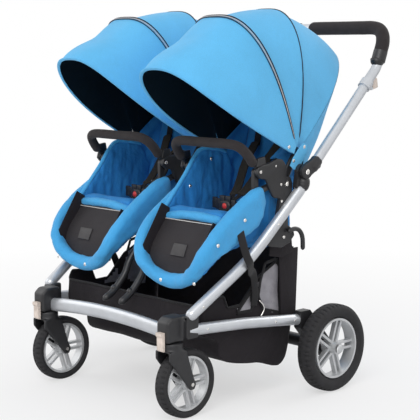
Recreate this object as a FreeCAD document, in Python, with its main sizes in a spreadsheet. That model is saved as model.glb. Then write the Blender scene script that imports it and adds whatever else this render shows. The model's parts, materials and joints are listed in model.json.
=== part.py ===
import FreeCAD, Part
import math
import os
import re

import Sketcher

# A side-by-side twin stroller. +Z is up, -Y is the front, +X is the right-hand side as seen from
# the front, and the origin is on the ground under the middle of the stroller. Lengths are mm.
# Only the right-hand pieces are drawn. The left-hand ones mirror them about the plane X = 0.

SIZES = {
    "Wheels": {
        "front_wheel_x": 264,
        "front_axle_y": -310.5,
        "front_wheel_radius": 91,
        "front_wheel_width": 40,
        "front_rim_radius": 72,
        "rear_wheel_x": 358,
        "rear_axle_y": 157.5,
        "rear_wheel_radius": 122,
        "rear_wheel_width": 50,
        "rear_rim_radius": 84,
        "tyre_shoulder": 9,
        "rim_wall": 6,
        "hub_radius": 17,
        "spoke_width": 7,
        "spoke_gap": 10,
        "spoke_depth": 14,
        "front_pin_radius": 5,
        "rear_pin_radius": 6,
        "running_gap": 0.05,
        "seat_gap": 0.3,
    },
    "Rear axle": {
        "axle_tube_radius": 18,
        "axle_tube_half": 329,
        "axle_flange_radius": 10,
        "axle_flange_width": 4,
        "wheel_end_play": 1,
    },
    "Casters": {
        "swivel_y": -357,
        "seam_height": 207,
        "crown_radius": 30,
        "crown_height": 20,
        "yoke_front": 31,
        "yoke_back": 27,
        "yoke_depth": 4,
        "fork_leg": 8,
        "fork_gap": 2,
        "fork_boss": 15,
        "fork_drop": 24,
        "stem_radius": 8,
        "stem_length": 43,
    },
    "Caster housings": {
        "housing_nose": 32,
        "housing_back": -326,
        "housing_top": 290,
        "housing_slope": 22,
        "housing_half_width": 23,
        "lug_inner_x": 272,
        "lug_outer_x": 317,
        "lug_front": -340,
        "lug_back": -298,
        "lug_drop": 7,
        "lock_lever_half_width": 11,
        "lock_lever_depth": 8,
        "lock_lever_bottom": 187,
        "lock_lever_top": 236,
        "lock_tab_depth": 4,
        "lock_tab_height": 8,
    },
    "Chassis tubes": {
        "rail_radius": 15,
        "rail_bend": 300,
        "rail_front_x": 291,
        "rail_front_y": -330,
        "rail_front_height": 236,
        "rail_mid_run": 200,
        "rail_mid_height": 226,
        "rail_rear_run": 393,
        "rail_rear_height": 208,
        "rail_splay": 3.2,
        "main_radius": 15,
        "tube_wall": 1.6,
        "main_front_x": 298,
        "main_front_y": -333,
        "main_front_height": 268,
        "main_splay": 7.5,
        "main_knee_run": 262,
        "main_knee_height": 447,
        "main_neck_run": 350,
        "main_neck_height": 528,
        "main_top_run": 381,
        "main_top_height": 577,
        "main_bend": 160,
        "cross_radius": 13,
        "cross_y": -352,
        "cross_height": 228,
        "cross_rise": 15,
        "cross_flat": 200,
        "cross_arch": 120,
        "cross_bend": 110,
    },
    "Rear brackets and uprights": {
        "bracket_inner_x": 303,
        "bracket_outer_x": 329,
        "bracket_front": 62,
        "bracket_top": 232,
        "bracket_depth": 46,
        "bracket_ledge": 38,
        "bracket_boss": 27,
        "upright_x": 317,
        "upright_radius": 8,
        "upright_foot_y": 81,
        "upright_top_y": 36,
        "upright_top_height": 428,
    },
    "Frame brackets and hooks": {
        "clamp_inner_x": 309,
        "clamp_outer_x": 336,
        "clamp_front_y": -58,
        "clamp_front_height": 458,
        "clamp_crest_y": 12,
        "clamp_crest_height": 535,
        "clamp_back_y": 54,
        "clamp_back_height": 458,
        "hook_pin_radius": 4,
        "hook_pin_y": 42,
        "hook_pin_height": 444,
        "hook_width": 7,
        "hook_reach": 54,
        "hook_drop": 42,
        "hook_band": 9,
    },
    "Knuckles and handle": {
        "hinge_y": 42,
        "hinge_height": 621,
        "knuckle_radius": 20,
        "knuckle_inner_x": 335.5,
        "knuckle_split_x": 350.5,
        "knuckle_outer_x": 366,
        "knuckle_sleeve": 2.5,
        "knuckle_sleeve_length": 34,
        "knuckle_web": 17,
        "hinge_pin_radius": 5,
        "handle_x": 353.5,
        "handle_radius": 14,
        "handle_offset": 15,
        "handle_start": 24,
        "handle_angle": 44.5,
        "handle_run": 402,
        "handle_bend": 60,
        "handle_top_angle": 68.5,
        "handle_neck": 36,
        "handle_rise": 85,
        "handle_corner": 46,
        "grip_radius": 18,
        "grip_start": 14,
        "grip_gap_half": 63,
        "collar_radius": 20,
        "collar_length": 32,
        "trigger_radius": 18,
        "trigger_length": 24,
        "trigger_from_bend": 52,
        "trigger_tab": 8,
    },
    "Seats": {
        "seat_x": 185,
        "seat_hub_y": -3,
        "seat_hub_height": 590,
        "seat_hub_radius": 24,
        "seat_hub_inner": 128,
        "seat_hub_outer": 138,
        "seat_tube_radius": 9,
        "seat_tube_x": 134,
        "seat_bend_y": -95,
        "seat_bend_height": 570,
        "knee_y": -205,
        "knee_height": 510,
        "toe_y": -304,
        "toe_height": 424,
        "foot_y": -282,
        "foot_height": 343,
        "seat_bend_radius": 45,
        "roll_radius": 17.5,
        "roll_start": 30,
        "arm_inner_x": 323.3,
        "arm_outer_x": 334,
        "arm_foot_reach": 42,
        "arm_foot_drop": 108,
        "arm_head": 18,
        "arm_heel_drop": 72,
        "tub_inner": 108,
        "tub_wall": 8,
        "tub_belly_y": -86,
        "tub_belly_height": 486,
        "tub_calf_y": -188,
        "tub_calf_height": 420,
        "tub_rim_height": 640,
        "tub_back_y": 62,
        "tub_back_height": 600,
        "cushion_thickness": 30,
        "cushion_front_y": -204,
        "cushion_front_height": 532,
        "cushion_back_height": 480,
        "flap_thickness": 4,
        "flap_top_height": 500,
        "back_pivot_y": 30,
        "back_pivot_height": 486,
        "back_pin_radius": 5,
        "back_thickness": 24,
        "back_length": 330,
        "back_shoulder": 40,
        "back_tilt": 16,
        "strap_half_gap": 32,
        "strap_width": 34,
        "strap_thickness": 7,
        "strap_low": 70,
        "strap_high": 275,
        "buckle_width": 44,
        "buckle_y": -60,
        "buckle_height": 46,
        "buckle_thickness": 16,
    },
    "Bumper bars": {
        "bumper_y": -105,
        "bumper_height": 628,
        "bumper_pin_radius": 4,
        "bumper_arm_inner": 133.3,
        "bumper_arm_outer": 140.7,
        "bumper_eye": 10,
        "bumper_angle": 38,
        "bumper_reach": 92,
        "bumper_corner": 45,
        "bumper_core": 3.5,
        "bumper_foam": 13.5,
        "bumper_foam_start": 22,
        "clip_width": 9,
    },
    "Hoods": {
        "hood_y": 36.5,
        "hood_height": 660,
        "hood_pin_radius": 5,
        "hood_ear": 16,
        "hood_wall": 2.5,
        "hood_corner": 92,
        "hood_rear_radius": 391,
        "hood_rear_half": 142,
        "hood_mid_radius": 395,
        "hood_mid_half": 145.5,
        "hood_front_radius": 409,
        "hood_lip_radius": 442.5,
        "hood_front_half": 149,
        "hood_rear_back_angle": -43,
        "hood_rear_front_angle": -3,
        "hood_mid_angle": 23,
        "hood_lip_angle": 58,
    },
    "Centre frame": {
        "post_radius": 7,
        "post_x": 13,
        "post_low_y": -300,
        "post_low_height": 300,
        "post_mid_y": -288,
        "post_mid_height": 400,
        "post_bend": 60,
        "post_bar_radius": 7,
    },
    "Basket": {
        "basket_half_width": 278,
        "basket_wall": 3,
        "basket_back_y": 74,
        "basket_back_height": 398,
        "basket_floor_back_y": 38,
        "basket_floor_height": 100,
        "basket_floor_front_y": -62,
        "basket_nose_y": -190,
        "basket_nose_height": 128,
        "basket_chin_y": -210,
        "basket_chin_height": 188,
        "basket_front_y": -268,
        "basket_front_bottom": 214,
        "basket_front_top": 284,
        "basket_dip_y": -124,
        "basket_dip_height": 268,
        "basket_tab_width": 36,
        "basket_tab_height": 14,
    },
    "Brake": {
        "brake_ring_radius": 24,
        "brake_half_width": 32,
        "pedal_reach": 66,
        "pedal_thickness": 8,
        "pedal_height": 10,
    },
}

FUNCTIONS = ("cos", "sin", "tan", "atan", "sqrt")

doc = FreeCAD.newDocument("stroller")
sheet = doc.addObject("Spreadsheet::Sheet", "Sizes")
nodes = []


def fill_sheet():
    """Write every driving size once, with its alias beside it."""
    row = 1
    for group, sizes in SIZES.items():
        sheet.set(f"A{row}", group)
        row += 1
        for alias, value in sizes.items():
            sheet.set(f"A{row}", alias)
            sheet.set(f"B{row}", str(value))
            sheet.setAlias(f"B{row}", alias)
            row += 1
    doc.recompute()


def value(expression):
    """Number that an expression over the sheet's aliases gives."""
    return float(sheet.evalExpression(str(expression)))


def bind(item, prop, expression):
    """Bind a property to an expression over the sheet's aliases."""

    def prefix(match):
        word = match.group(0)
        return word if word in FUNCTIONS else f"Sizes.{word}"

    item.setExpression(prop, re.sub(r"[a-z_]+[a-z_0-9]*", prefix, str(expression)))


def place(item, base=(0, 0, 0), axis=None, angle=0):
    """Place an object at bound coordinates, turned by a bound angle about one axis."""
    turn = FreeCAD.Rotation()
    if axis is not None:
        turn = FreeCAD.Rotation(FreeCAD.Vector(*axis), value(angle) or 1)
    item.Placement = FreeCAD.Placement(FreeCAD.Vector(*[value(v) for v in base]), turn)
    for name, expression in zip("xyz", base):
        bind(item, f"Placement.Base.{name}", expression)
    if axis is not None:
        bind(item, "Placement.Rotation.Angle", angle)


def new_body(label):
    body = doc.addObject("PartDesign::Body", label)
    body.Label = label
    return body


def new_sketch(body, role, lift=0, tilt=None):
    """Sketch on one of the body's own planes, lifted off it or tilted about its first axis."""
    sketch = body.newObject("Sketcher::SketchObject", f"{body.Name}_sketch")
    plane = next(item for item in body.Origin.OriginFeatures if item.Role == role)
    sketch.AttachmentSupport = [(plane, "")]
    sketch.MapMode = "FlatFace"
    if tilt is not None:
        turn = FreeCAD.Rotation(FreeCAD.Vector(1, 0, 0), value(tilt))
        sketch.AttachmentOffset = FreeCAD.Placement(FreeCAD.Vector(), turn)
        bind(sketch, "AttachmentOffset.Rotation.Angle", tilt)
    else:
        bind(sketch, "AttachmentOffset.Base.z", lift)
    return sketch


def fix_point(sketch, geometry, position, point):
    """Tie a point of the sketch to bound coordinates."""
    for kind, expression in zip(("DistanceX", "DistanceY"), point):
        rule = Sketcher.Constraint(kind, -1, 1, geometry, position, value(expression))
        index = sketch.addConstraint(rule)
        bind(sketch, f"Constraints[{index}]", expression)


def fix_radius(sketch, geometry, radius):
    index = sketch.addConstraint(Sketcher.Constraint("Radius", geometry, value(radius)))
    bind(sketch, f"Constraints[{index}]", radius)


def vector(point):
    return FreeCAD.Vector(value(point[0]), value(point[1]), 0)


def draw_polygon(sketch, points):
    """Closed outline through bound points."""
    count = len(points)
    first = sketch.GeometryCount
    for index in range(count):
        ends = vector(points[index]), vector(points[(index + 1) % count])
        sketch.addGeometry(Part.LineSegment(*ends))
    for index in range(count):
        joined = first + (index + 1) % count
        sketch.addConstraint(Sketcher.Constraint("Coincident", first + index, 2, joined, 1))
        fix_point(sketch, first + index, 1, points[index])


def draw_circle(sketch, centre, radius):
    circle = Part.Circle(vector(centre), FreeCAD.Vector(0, 0, 1), value(radius))
    index = sketch.addGeometry(circle)
    fix_point(sketch, index, 3, centre)
    fix_radius(sketch, index, radius)


def bend_arc(before, corner, after, radius):
    """Tangent arc at a corner of a path, with its two ends in the order of travel."""
    inward = (corner - before).normalize()
    outward = (after - corner).normalize()
    turn = inward.getAngle(outward)
    setback = radius * math.tan(turn / 2)
    entry = corner - inward * setback
    leave = corner + outward * setback
    centre = corner + (outward - inward).normalize() * (radius / math.cos(turn / 2))
    left_turn = inward.cross(outward).z > 0
    first, last = (entry, leave) if left_turn else (leave, entry)
    start = math.atan2(first.y - centre.y, first.x - centre.x)
    end = math.atan2(last.y - centre.y, last.x - centre.x)
    if end < start:
        end += 2 * math.pi
    circle = Part.Circle(centre, FreeCAD.Vector(0, 0, 1), radius)
    return Part.ArcOfCircle(circle, start, end), entry, leave, left_turn


def draw_path(sketch, points, bend):
    """Open path of straight runs joined by tangent arcs of one radius at every inner point."""
    corners = [vector(point) for point in points]
    joints = [
        bend_arc(before, corner, after, value(bend))
        for before, corner, after in zip(corners, corners[1:], corners[2:])
    ]
    starts = [corners[0]] + [joint[2] for joint in joints]
    ends = [joint[1] for joint in joints] + [corners[-1]]
    lines = [sketch.addGeometry(Part.LineSegment(*pair)) for pair in zip(starts, ends)]
    fix_point(sketch, lines[0], 1, points[0])
    fix_point(sketch, lines[-1], 2, points[-1])
    for index, (arc, _, _, left_turn) in enumerate(joints):
        curve = sketch.addGeometry(arc)
        entry_end, leave_end = (1, 2) if left_turn else (2, 1)
        before, after = lines[index], lines[index + 1]
        sketch.addConstraint(Sketcher.Constraint("Tangent", before, 2, curve, entry_end))
        sketch.addConstraint(Sketcher.Constraint("Tangent", curve, leave_end, after, 1))
        fix_radius(sketch, curve, bend)
        corner = sketch.addGeometry(Part.Point(corners[index + 1]), True)
        fix_point(sketch, corner, 1, points[index + 1])
        for line in (before, after):
            sketch.addConstraint(Sketcher.Constraint("PointOnObject", corner, 1, line))


def add_pad(body, sketch, length, backwards=False):
    pad = body.newObject("PartDesign::Pad", f"{body.Name}_pad")
    pad.Profile = sketch
    pad.Reversed = backwards
    bind(pad, "Length", length)
    sketch.Visibility = False
    body.Tip = pad
    return pad


def add_slab(body, points, start, end):
    """Outline in the Y-Z plane, padded along X between two bound coordinates."""
    sketch = new_sketch(body, "YZ_Plane", start)
    draw_polygon(sketch, points)
    return add_pad(body, sketch, f"({end}) - ({start})")


def add_disc(body, centre, radius, start, end, bore=None):
    """Round boss along X, with a bore through it when one is given."""
    sketch = new_sketch(body, "YZ_Plane", start)
    draw_circle(sketch, centre, radius)
    if bore is not None:
        draw_circle(sketch, centre, bore)
    return add_pad(body, sketch, f"({end}) - ({start})")


def add_turned(body, points, angle=360):
    """Outline given as (along X, radius), turned about the X axis."""
    sketch = new_sketch(body, "XY_Plane")
    draw_polygon(sketch, points)
    turned = body.newObject("PartDesign::Revolution", f"{body.Name}_turned")
    turned.Profile = sketch
    turned.ReferenceAxis = (sketch, ["H_Axis"])
    bind(turned, "Angle", angle)
    body.Tip = turned
    return turned


def add_pipe(body, role, points, bend, radius, bore=None, tilt=None):
    """Round tube along a bent path in one of the body's planes."""
    path = new_sketch(body, role, tilt=tilt)
    draw_path(path, points, bend)
    section = body.newObject("Sketcher::SketchObject", f"{body.Name}_section")
    section.AttachmentSupport = [(path, "Edge1")]
    section.MapMode = "NormalToEdge"
    section.MapPathParameter = 0
    draw_circle(section, (0, 0), radius)
    if bore is not None:
        draw_circle(section, (0, 0), bore)
    pipe = body.newObject("PartDesign::AdditivePipe", f"{body.Name}_pipe")
    pipe.Profile = section
    pipe.Spine = path
    body.Tip = pipe
    return pipe


def rod(label, start, end, centre, radius):
    """Plain round rod along X."""
    item = doc.addObject("Part::Cylinder", label)
    item.Label = label
    bind(item, "Radius", radius)
    bind(item, "Height", f"({end}) - ({start})")
    place(item, (start, *centre), (0, 1, 0), 90)
    return item


def post(label, foot, height, centre, radius):
    """Plain round rod along Z."""
    item = doc.addObject("Part::Cylinder", label)
    item.Label = label
    bind(item, "Radius", radius)
    bind(item, "Height", height)
    place(item, (*centre, foot))
    return item


def fused(label, items):
    item = doc.addObject("Part::MultiFuse", label)
    item.Label = label
    item.Shapes = items
    return item


def cut(label, base, tool):
    item = doc.addObject("Part::Cut", label)
    item.Label = label
    item.Base = base
    item.Tool = tool
    return item


def mirrored(label, source):
    item = doc.addObject("Part::Mirroring", label)
    item.Label = label
    item.Source = source
    item.Normal = FreeCAD.Vector(1, 0, 0)
    return item


def both_sides(label, source):
    """One sub-part made of the right-hand piece and its mirror image."""
    item = doc.addObject("Part::Compound", label)
    item.Label = label
    item.Links = [source, mirrored(f"{label}_mirror", source)]
    return item


def keep(*items):
    nodes.extend(items)


def keep_pair(name, source):
    """The right-hand piece and its mirror image as two sub-parts."""
    source.Label = f"{name}_right"
    keep(source, mirrored(f"{name}_left", source))


def wheel(prefix, radius, width, rim_radius, pin_radius, centre):
    """Spoked rim with its hub, and the tyre round it."""
    half = f"({width}) / 2"
    rim = new_body(f"{prefix}_rim")
    lip = f"({half}) - 6"
    add_turned(
        rim,
        [
            (f"-({lip})", rim_radius),
            (f"-({lip})", f"{rim_radius} - rim_wall"),
            (lip, f"{rim_radius} - rim_wall"),
            (lip, rim_radius),
        ],
    )
    bore = f"{pin_radius} + running_gap"
    add_disc(rim, (0, 0), "hub_radius", f"-({half})", half, bore)
    sketch = new_sketch(rim, "YZ_Plane", "-spoke_depth / 2")
    reach = f"{rim_radius} - rim_wall / 2"
    for side in ("-1", "1"):
        near = f"{side} * spoke_gap / 2"
        far = f"{side} * (spoke_gap / 2 + spoke_width)"
        root = "hub_radius - 4"
        draw_polygon(sketch, [(root, near), (reach, near), (reach, far), (root, far)])
    spokes = add_pad(rim, sketch, "spoke_depth")
    pattern = rim.newObject("PartDesign::PolarPattern", f"{prefix}_spokes")
    pattern.Originals = [spokes]
    axis = next(item for item in rim.Origin.OriginFeatures if item.Role == "X_Axis")
    pattern.Axis = (axis, [""])
    pattern.Angle = 360
    pattern.Occurrences = 5
    rim.Tip = pattern
    place(rim, centre)

    tyre = new_body(f"{prefix}_tyre")
    shoulder = f"{radius} - tyre_shoulder"
    tread = f"({half}) - tyre_shoulder"
    outline = [
        (f"-({lip})", rim_radius),
        (f"-({half})", f"{rim_radius} + 4"),
        (f"-({half})", shoulder),
        (f"-({tread})", f"{radius} - 2"),
        ("-3", radius),
        ("3", radius),
        (tread, f"{radius} - 2"),
        (half, shoulder),
        (half, f"{rim_radius} + 4"),
        (lip, rim_radius),
    ]
    add_turned(tyre, outline)
    place(tyre, centre)
    keep_pair(f"{prefix}_rim", rim)
    keep_pair(f"{prefix}_tyre", tyre)


def wheels():
    wheel(
        "front",
        "front_wheel_radius",
        "front_wheel_width",
        "front_rim_radius",
        "front_pin_radius",
        ("front_wheel_x", "front_axle_y", "front_wheel_radius"),
    )
    wheel(
        "rear",
        "rear_wheel_radius",
        "rear_wheel_width",
        "rear_rim_radius",
        "rear_pin_radius",
        ("rear_wheel_x", "rear_axle_y", "rear_wheel_radius"),
    )


REAR_AXLE = ("rear_axle_y", "rear_wheel_radius")
FRONT_AXLE = ("front_axle_y", "front_wheel_radius")
HINGE = ("hinge_y", "hinge_height")
HUB = ("seat_hub_y", "seat_hub_height")
HOOD = ("hood_y", "hood_height")
HOUSING_FRONT = "(swivel_y - housing_nose)"
BACK_PIVOT = ("back_pivot_y", "back_pivot_height")
CUSHION_BACK = "(back_pivot_y - seat_gap)"


def rear_axle():
    """Tube between the rear brackets, with a flanged pin for each wheel."""
    axle = new_body("rear_axle")
    end = "rear_wheel_x + rear_wheel_width / 2 + wheel_end_play"
    tip = f"{end} + axle_flange_width"
    half = [
        (tip, "axle_flange_radius"),
        (end, "axle_flange_radius"),
        (end, "rear_pin_radius"),
        ("axle_tube_half", "rear_pin_radius"),
        ("axle_tube_half", "axle_tube_radius"),
    ]
    far = [(f"-({x})", radius) for x, radius in reversed(half)]
    add_turned(axle, [(tip, 0)] + half + far + [(f"-({tip})", 0)])
    place(axle, (0, *REAR_AXLE))
    keep(axle)


def caster():
    """Fork that swivels on a stem under the housing, and the wheel's pin."""
    x = "front_wheel_x"
    crown_top = "seam_height - seat_gap"
    crown_foot = f"{crown_top} - crown_height"
    solid = new_body("fork_solid")
    leg_inner = "front_wheel_width / 2 + fork_gap"
    leg_outer = f"{leg_inner} + fork_leg"
    front = "swivel_y - yoke_front"
    back = "swivel_y + yoke_back"
    yoke_foot = f"{crown_foot} - yoke_depth"
    yoke = [
        (front, yoke_foot),
        (front, crown_foot),
        (back, crown_foot),
        (back, yoke_foot),
    ]
    add_slab(solid, yoke, f"{x} - ({leg_outer})", f"{x} + {leg_outer}")
    leg = [
        (front, crown_foot),
        (front, f"{crown_foot} - fork_drop"),
        ("front_axle_y - fork_boss", "front_wheel_radius - 4"),
        ("front_axle_y - fork_boss / 2", "front_wheel_radius - fork_boss"),
        ("front_axle_y + fork_boss / 2", "front_wheel_radius - fork_boss"),
        ("front_axle_y + fork_boss", "front_wheel_radius"),
        ("front_axle_y + fork_boss / 2", "front_wheel_radius + fork_boss"),
        (back, crown_foot),
    ]
    add_slab(solid, leg, f"{x} + {leg_inner}", f"{x} + {leg_outer}")
    add_slab(solid, leg, f"{x} - ({leg_outer})", f"{x} - ({leg_inner})")
    crown = post("fork_crown", crown_foot, "crown_height", (x, "swivel_y"), "crown_radius")
    stem = post("fork_stem", crown_top, "stem_length", (x, "swivel_y"), "stem_radius")
    whole = fused("fork_whole", [solid, crown, stem])
    pin = rod(
        "front_pin", f"{x} - ({leg_outer})", f"{x} + {leg_outer}", FRONT_AXLE, "front_pin_radius"
    )
    keep_pair("caster_fork", cut("caster_fork", whole, pin))
    keep_pair("front_pin", pin)


def chassis_tubes():
    """Lower rails, the curved main tubes above them and the arched front tube."""
    rail = new_body("rail_core")
    rail_path = [
        (0, "rail_front_height"),
        ("rail_mid_run", "rail_mid_height"),
        ("rail_rear_run", "rail_rear_height"),
    ]
    add_pipe(rail, "YZ_Plane", rail_path, "rail_bend", "rail_radius")
    main = new_body("main_core")
    main_path = [
        (0, "main_front_height"),
        ("main_knee_run", "main_knee_height"),
        ("main_neck_run", "main_neck_height"),
        ("main_top_run", "main_top_height"),
    ]
    bend = "main_bend / 2"
    add_pipe(main, "YZ_Plane", main_path, bend, "main_radius")
    rail_tube = new_body("rail_tube")
    bore = "rail_radius - tube_wall"
    add_pipe(rail_tube, "YZ_Plane", rail_path, "rail_bend", "rail_radius", bore)
    main_tube = new_body("main_tube")
    bore = "main_radius - tube_wall"
    add_pipe(main_tube, "YZ_Plane", main_path, bend, "main_radius", bore)
    for item in (rail, rail_tube):
        place(item, ("rail_front_x", "rail_front_y", 0), (0, 0, 1), "-rail_splay")
    for item in (main, main_tube):
        place(item, ("main_front_x", "main_front_y", 0), (0, 0, 1), "-main_splay")
    sleeve = new_body("main_sleeve")
    lower = [("main_neck_run", "main_neck_height"), ("main_top_run", "main_top_height")]
    add_pipe(sleeve, "YZ_Plane", lower, 1, "main_radius + knuckle_sleeve")
    place(sleeve, ("main_front_x", "main_front_y", 0), (0, 0, 1), "-main_splay")
    keep(both_sides("lower_rails", rail_tube), both_sides("main_tubes", main_tube))

    cross = new_body("front_cross_tube")
    end = "front_wheel_x - housing_half_width"
    rise = "cross_height + cross_rise"
    path = [
        (f"-({end})", "cross_height"),
        ("-cross_flat", "cross_height"),
        ("-cross_arch", rise),
        ("cross_arch", rise),
        ("cross_flat", "cross_height"),
        (end, "cross_height"),
    ]
    bore = "cross_radius - tube_wall"
    add_pipe(cross, "XZ_Plane", path, "cross_bend", "cross_radius", bore)
    place(cross, (0, "cross_y", 0))
    keep(cross)
    return rail, main, sleeve


def housings(rail, main):
    """Castings that take the stems, the rails, the main tubes and the front tube."""
    x = "front_wheel_x"
    block = new_body("housing_block")
    slope = "housing_slope"
    outline = [
        (HOUSING_FRONT, "seam_height"),
        (HOUSING_FRONT, f"housing_top - {slope}"),
        (f"{HOUSING_FRONT} + {slope} * 0.8", "housing_top"),
        ("housing_back", "housing_top"),
        ("housing_back", "seam_height"),
    ]
    add_slab(block, outline, f"{x} - housing_half_width", f"{x} + housing_half_width")
    lug = [
        ("lug_front", "seam_height + lug_drop"),
        ("lug_front", "housing_top"),
        ("lug_back", "housing_top + lug_drop"),
        ("lug_back", "seam_height + lug_drop"),
    ]
    add_slab(block, lug, "lug_inner_x", "lug_outer_x")
    bore = post(
        "stem_bore",
        "seam_height",
        "stem_length",
        (x, "swivel_y"),
        "stem_radius + running_gap",
    )
    tools = fused("housing_tools", [bore, rail, main])
    keep(both_sides("caster_housings", cut("housing", block, tools)))

    lever = new_body("swivel_lock")
    back = f"{HOUSING_FRONT} - seat_gap"
    front = f"{back} - lock_lever_depth"
    tab = f"{front} - lock_tab_depth"
    outline = [
        (back, "lock_lever_bottom"),
        (back, "lock_lever_top"),
        (tab, "lock_lever_top"),
        (tab, "lock_lever_top - lock_tab_height"),
        (front, "lock_lever_top - lock_tab_height * 1.6"),
        (front, "lock_lever_bottom + 3"),
        (f"{front} + 3", "lock_lever_bottom"),
    ]
    half = "lock_lever_half_width"
    add_slab(lever, outline, f"{x} - {half}", f"{x} + {half}")
    keep_pair("swivel_lock", lever)


def rear_brackets(rail):
    """Plates that join the rails to the axle, and the uprights that stand on them."""
    plate = new_body("bracket_plate")
    y, z = REAR_AXLE
    outline = [
        ("bracket_front", "bracket_top - bracket_depth"),
        ("bracket_front", "bracket_top"),
        ("bracket_front + bracket_ledge", "bracket_top"),
        (f"{y} + bracket_boss", f"{z} + bracket_boss / 2"),
        (f"{y} + bracket_boss", f"{z} - bracket_boss / 2"),
        (f"{y} + bracket_boss / 2", f"{z} - bracket_boss"),
        (f"{y} - bracket_boss / 2", f"{z} - bracket_boss"),
        (f"{y} - bracket_boss", f"{z} - bracket_boss / 2"),
    ]
    add_slab(plate, outline, "bracket_inner_x", "bracket_outer_x")
    axle = rod(
        "bracket_bore", "bracket_inner_x - 1", "bracket_outer_x + 1", REAR_AXLE, "axle_tube_radius"
    )
    tools = fused("bracket_tools", [axle, rail])
    keep(both_sides("rear_brackets", cut("rear_bracket", plate, tools)))

    upright = new_body("upright")
    path = [
        ("upright_foot_y", "bracket_top"),
        ("upright_foot_y", "bracket_top + 40"),
        ("upright_top_y", "upright_top_height - 60"),
        ("upright_top_y", "upright_top_height"),
    ]
    add_pipe(upright, "YZ_Plane", path, 90, "upright_radius")
    place(upright, ("upright_x", 0, 0))
    keep(both_sides("uprights", upright))


def frame_brackets(main, knuckle):
    """Brackets under the main tubes, each with the pin that its transport hook turns on."""
    plate = new_body("clamp_plate")
    outline = [
        ("clamp_front_y", "clamp_front_height"),
        ("clamp_crest_y", "clamp_crest_height"),
        ("clamp_crest_y + 16", "clamp_crest_height - 12"),
        ("clamp_back_y", "clamp_back_height"),
        ("clamp_back_y", "upright_top_height"),
        ("upright_top_y - 18", "upright_top_height"),
    ]
    add_slab(plate, outline, "clamp_inner_x", "clamp_outer_x")
    pin_centre = ("hook_pin_y", "hook_pin_height")
    pin_end = "clamp_outer_x + seat_gap + hook_width"
    add_disc(plate, pin_centre, "hook_pin_radius", "clamp_outer_x - 2", pin_end)
    tools = fused("clamp_tools", [main, knuckle])
    bracket = cut("frame_bracket", plate, tools)
    keep(both_sides("frame_brackets", bracket))

    hook = new_body("transport_hook")
    start = "clamp_outer_x + seat_gap"
    end = f"{start} + hook_width"
    sketch = new_sketch(hook, "YZ_Plane", start)
    y, z = pin_centre
    outline = [
        (f"{y} - hook_band", z),
        (f"{y} - hook_band / 2", f"{z} + hook_band"),
        (f"{y} + hook_reach * 0.45", f"{z} + hook_band * 1.2"),
        (f"{y} + hook_reach * 0.85", f"{z} - hook_drop * 0.1"),
        (f"{y} + hook_reach", f"{z} - hook_drop * 0.5"),
        (f"{y} + hook_reach * 0.9", f"{z} - hook_drop"),
        (f"{y} + hook_reach * 0.9 - hook_band", f"{z} - hook_drop"),
        (f"{y} + hook_reach - hook_band", f"{z} - hook_drop * 0.5"),
        (f"{y} + hook_reach * 0.78 - hook_band", f"{z} - hook_drop * 0.25"),
        (f"{y} + hook_reach * 0.4", f"{z} - hook_band * 0.4"),
        (f"{y} - hook_band / 2", f"{z} - hook_band"),
    ]
    draw_polygon(sketch, outline)
    draw_circle(sketch, pin_centre, "hook_pin_radius + running_gap")
    add_pad(hook, sketch, f"({end}) - ({start})")
    keep_pair("transport_hook", hook)
    return bracket


def handle_line(along, across=0):
    """Point beside the hinge, along the handle's side tube and off its centre line."""
    y = (
        f"hinge_y + cos(handle_angle) * ({along})"
        f" + sin(handle_angle) * (handle_offset + ({across}))"
    )
    z = (
        f"hinge_height + sin(handle_angle) * ({along})"
        f" - cos(handle_angle) * (handle_offset + ({across}))"
    )
    return y, z


def knuckles(sleeve, main):
    """Hinge halves between the main tubes and the handle."""
    lower = new_body("lower_plate")
    y, z = HINGE
    radius = "knuckle_radius"
    tail_y = "main_front_y + main_top_run * cos(main_splay)"
    tail = [
        (f"{y} - {radius}", f"{z} - 4"),
        (f"{y}", f"{z}"),
        (f"{y} + {radius} * 0.86", f"{z} - {radius} * 0.5"),
        (f"{tail_y} + 15", "main_top_height - 14"),
        (f"{tail_y} - 12", "main_top_height - 40"),
        (f"{tail_y} - 34", "main_top_height - 26"),
    ]
    add_slab(lower, tail, "knuckle_inner_x", "knuckle_split_x - seat_gap")
    add_disc(lower, HINGE, radius, "knuckle_inner_x", "knuckle_split_x - seat_gap")
    add_disc(lower, HINGE, "hinge_pin_radius", "knuckle_inner_x", "knuckle_outer_x + 2")
    whole = fused("lower_knuckle_whole", [lower, sleeve])
    keep(both_sides("lower_knuckles", cut("lower_knuckle", whole, main)))
    return whole


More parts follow.
